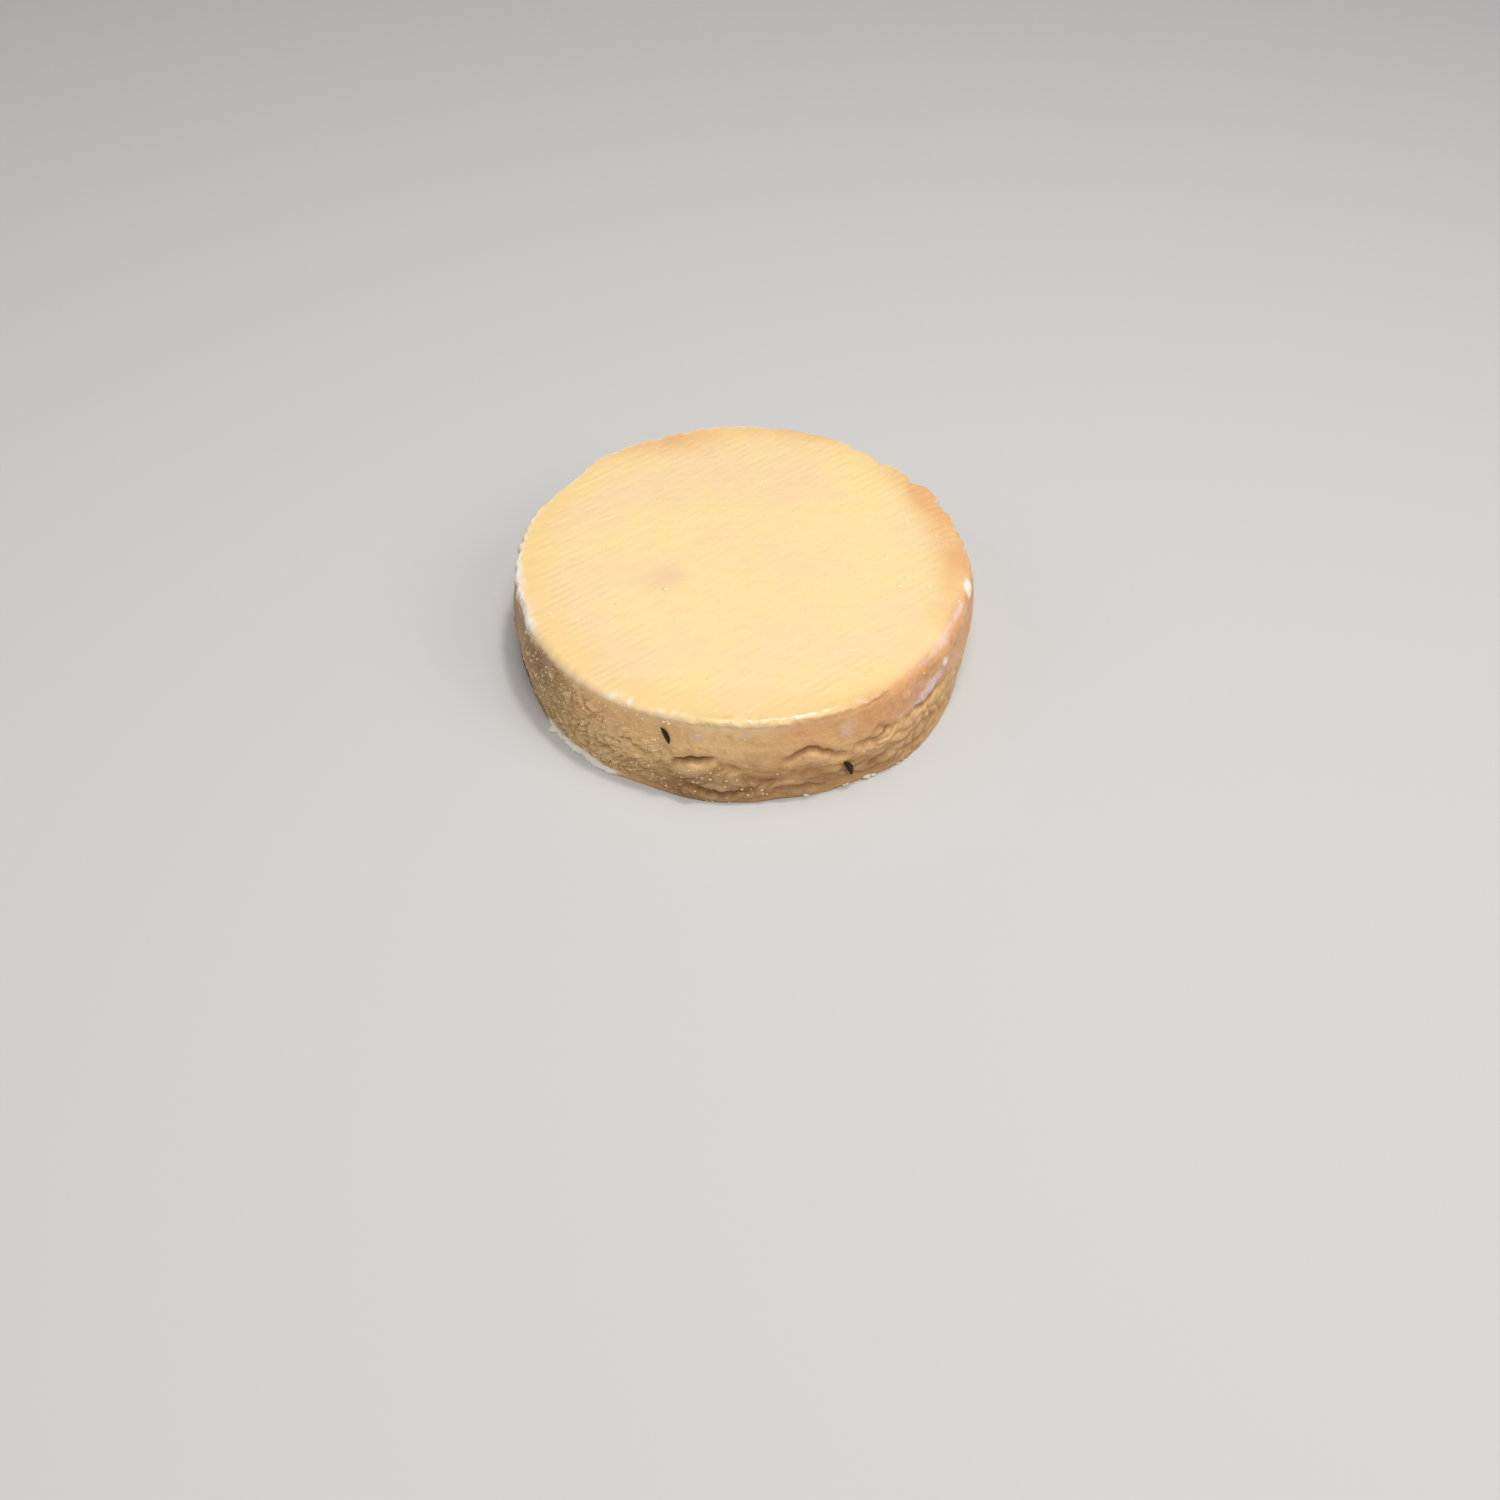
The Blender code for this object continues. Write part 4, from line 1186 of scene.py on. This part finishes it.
def top_pimples():
    """The named ones and some more at random, flattened, on the top.

    Where the edge is round they sink with it: by r - sqrt(r^2 - (r - inset)^2)."""
    draw = np.random.RandomState(89)
    away = TOP_REACH * np.sqrt(draw.uniform(0, 1, MORE_TOP_PIMPLES))
    facing = draw.uniform(0, 2 * math.pi, MORE_TOP_PIMPLES)
    named = np.array(TOP_PIMPLES)
    px = np.concatenate([named[:, 0] / 1000, away * np.cos(facing)])
    py = np.concatenate([named[:, 1] / 1000, away * np.sin(facing)])
    others = 0.00012 + 0.00018 * draw.power(0.5, MORE_TOP_PIMPLES)
    size = np.concatenate([named[:, 2] / 100000 * TOP_WIDENING, others])
    at = np.degrees(np.arctan2(py, px)) % 360
    round_by = edge_round(at)
    short = np.clip(np.hypot(px, py) - top_edge_radius(at), 0, round_by)
    sink = round_by - np.sqrt(round_by**2 - short**2)
    centres = np.stack([px, py, top_height(px, py) - sink], axis=1)
    frames = np.broadcast_to(np.eye(3), (len(px), 3, 3))
    return centres, frames, size[:, None] * TOP_SHAPE


beads, b, bead_shader = new_material("brine beads")
bead_grain = add_grain(b, 0.0006, 1.0)
for name, places, pale in (("side_pimples", side_pimples(), 0.0), ("top_pimples", top_pimples(), 1.0)):
    piece = balls(name, *places, seed=91, rough=0.10)
    add_mask(piece, "pale", np.full(len(piece.data.vertices), pale))
    piece.data.materials.append(beads)
    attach(piece, "root")
    print(name, "balls:", len(places[0]), "faces:", len(piece.data.polygons))
bead_colour = b.tint(b.mask("pale"), srgb(255, 228, 176), srgb(255, 234, 188))
bead_colour = b.layers(bead_colour, (bead_grain.outputs["Value"], 0.20, (246, 206, 146)))
b.put(bead_shader.inputs["Base Color"], bead_colour)
bead_shader.inputs["Roughness"].default_value = 0.28
bead_shader.inputs["Specular IOR Level"].default_value = 0.7

# %% [markdown]
# ## Crumbs at the foot
# A few crumbs of rind and salt stick where the cheese was slid along. They use the same function with
# rougher balls, and sit in clusters.

# %% Crumbs
CRUMB_CLUSTERS = (
    # middle angle, half spread in degrees, how many, largest radius
    (285.5, 0.4, 3, 0.00042),
    (295.5, 0.6, 4, 0.00048),
    (302.0, 1.5, 11, 0.00062),
    (312.0, 3.0, 4, 0.00030),
    (263.0, 5.0, 4, 0.00025),
    (40.0, 40.0, 8, 0.00040),
    (135.0, 40.0, 8, 0.00040),
)
CRUMB_SHAPE = np.array([1.2, 0.65, 0.9])
CRUMB_CLEAR = 0.00004


def crumb_places():
    """Centres beside the foot, turned at random, within each cluster."""
    draw = np.random.RandomState(71)
    rows = []
    for middle, spread, count, largest in CRUMB_CLUSTERS:
        at = middle + draw.uniform(-1, 1, count) * spread
        size = largest * draw.uniform(0.40, 1.0, count)
        level = CRUMB_CLEAR + size * CRUMB_SHAPE[2]
        out = wall_radius(at, level)[0] + 0.35 * size
        rows.append(np.stack([at, out, level, size], axis=1))
    at, out, level, size = np.vstack(rows).T
    return wheel_points(out, at, level), side_frames(at), size[:, None] * CRUMB_SHAPE


crumbs = balls("crumbs", *crumb_places(), seed=73, rough=0.16)
crumb, c, crumb_shader = new_material("dry crumb")
crumb_grain = add_grain(c, 0.0005, 1.0)
crumb_colour = c.tint(crumb_grain.outputs["Value"], srgb(236, 214, 176), srgb(247, 240, 226))
c.put(crumb_shader.inputs["Base Color"], crumb_colour)
crumb_shader.inputs["Roughness"].default_value = 0.7
crumbs.data.materials.append(crumb)
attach(crumbs, "root")
print("crumbs:", len(crumb_places()[0]), "faces:", len(crumbs.data.polygons))

# %% [markdown]
# ## Floor, light and camera
# The floor is plain and pale. A large lamp overhead, a little to the right, gives the side its shade. A
# small one beside it gives the front edge and the pimples their glints. Three soft lights, high up at
# the right, the front and the left, open the shade but leave each lump its dark underside. The camera
# looks down at the cheese at the photo's angle. Its place and turn come from fitting the photo's ellipses.

# %% Floor and light
FLOOR_REACH = 3.0
LAMP_AIM = (0, 0, 0.01)
LAMPS = (
    # name, place, size, power in watts
    ("main lamp", (0.10, 0.02, 0.74), 0.34, 1.16),
    ("small lamp", (0.12, 0.00, 0.76), 0.07, 1.6),
    ("right window", (0.60, -0.30, 0.60), 0.45, 1.6),
    ("front window", (0.06, -0.50, 0.88), 0.45, 2.6),
    ("left window", (-0.62, -0.12, 0.50), 0.45, 0.65),
)
ROOM_LIGHT = 0.20
floor_points = FLOOR_REACH * np.array([[-1, -1, 0], [1, -1, 0], [1, 1, 0], [-1, 1, 0]])
floor = mesh_object("floor", floor_points, [np.array([[0, 1, 2, 3]])])
floor_material, _, floor_shader = new_material("pale floor")
floor_shader.inputs["Base Color"].default_value = srgb(208, 207, 205)
floor_shader.inputs["Roughness"].default_value = 0.9
floor.data.materials.append(floor_material)


def lamp(name, place, size, power):
    """A square area lamp at a place, turned to face the cheese."""
    data = bpy.data.lights.new(name, "AREA")
    data.size = size
    data.energy = power
    obj = bpy.data.objects.new(name, data)
    obj.location = place
    obj.rotation_mode = "QUATERNION"
    obj.rotation_quaternion = (Vector(LAMP_AIM) - Vector(place)).to_track_quat("-Z", "Y")
    bpy.context.scene.collection.objects.link(obj)


for measures in LAMPS:
    lamp(*measures)
world = bpy.data.worlds.new("room")
world.use_nodes = True
world.node_tree.nodes["Background"].inputs["Color"].default_value = (1, 1, 1, 1)
world.node_tree.nodes["Background"].inputs["Strength"].default_value = ROOM_LIGHT
bpy.context.scene.world = world
bpy.context.scene.view_settings.view_transform = "Standard"
print("lamps:", len(LAMPS), "watts in all:", round(sum(power for *_, power in LAMPS), 2))

# %% Camera
CAMERA_PLACE = (0, -0.28854, 0.27172)
CAMERA_TURNS = (0.484, 47.343, -0.988)
LENS, SENSOR, CLIP_START = 39.164, 36.0, 0.01
yaw, pitch, roll = (math.radians(turn) for turn in CAMERA_TURNS)
forward = Vector((math.sin(yaw) * math.cos(pitch), math.cos(yaw) * math.cos(pitch), -math.sin(pitch)))
level_right = Vector((math.cos(yaw), -math.sin(yaw), 0))
level_down = forward.cross(level_right)
right = math.cos(roll) * level_right + math.sin(roll) * level_down
down = math.cos(roll) * level_down - math.sin(roll) * level_right
camera_data = bpy.data.cameras.new("camera")
camera_data.lens, camera_data.sensor_width = LENS, SENSOR
camera_data.clip_start = CLIP_START
camera = bpy.data.objects.new("camera", camera_data)
turn = Matrix((right, -down, -forward)).transposed()
camera.matrix_world = Matrix.Translation(CAMERA_PLACE) @ turn.to_4x4()
bpy.context.scene.collection.objects.link(camera)
bpy.context.scene.camera = camera
print("camera, m:", [round(v, 3) for v in camera.matrix_world.translation])
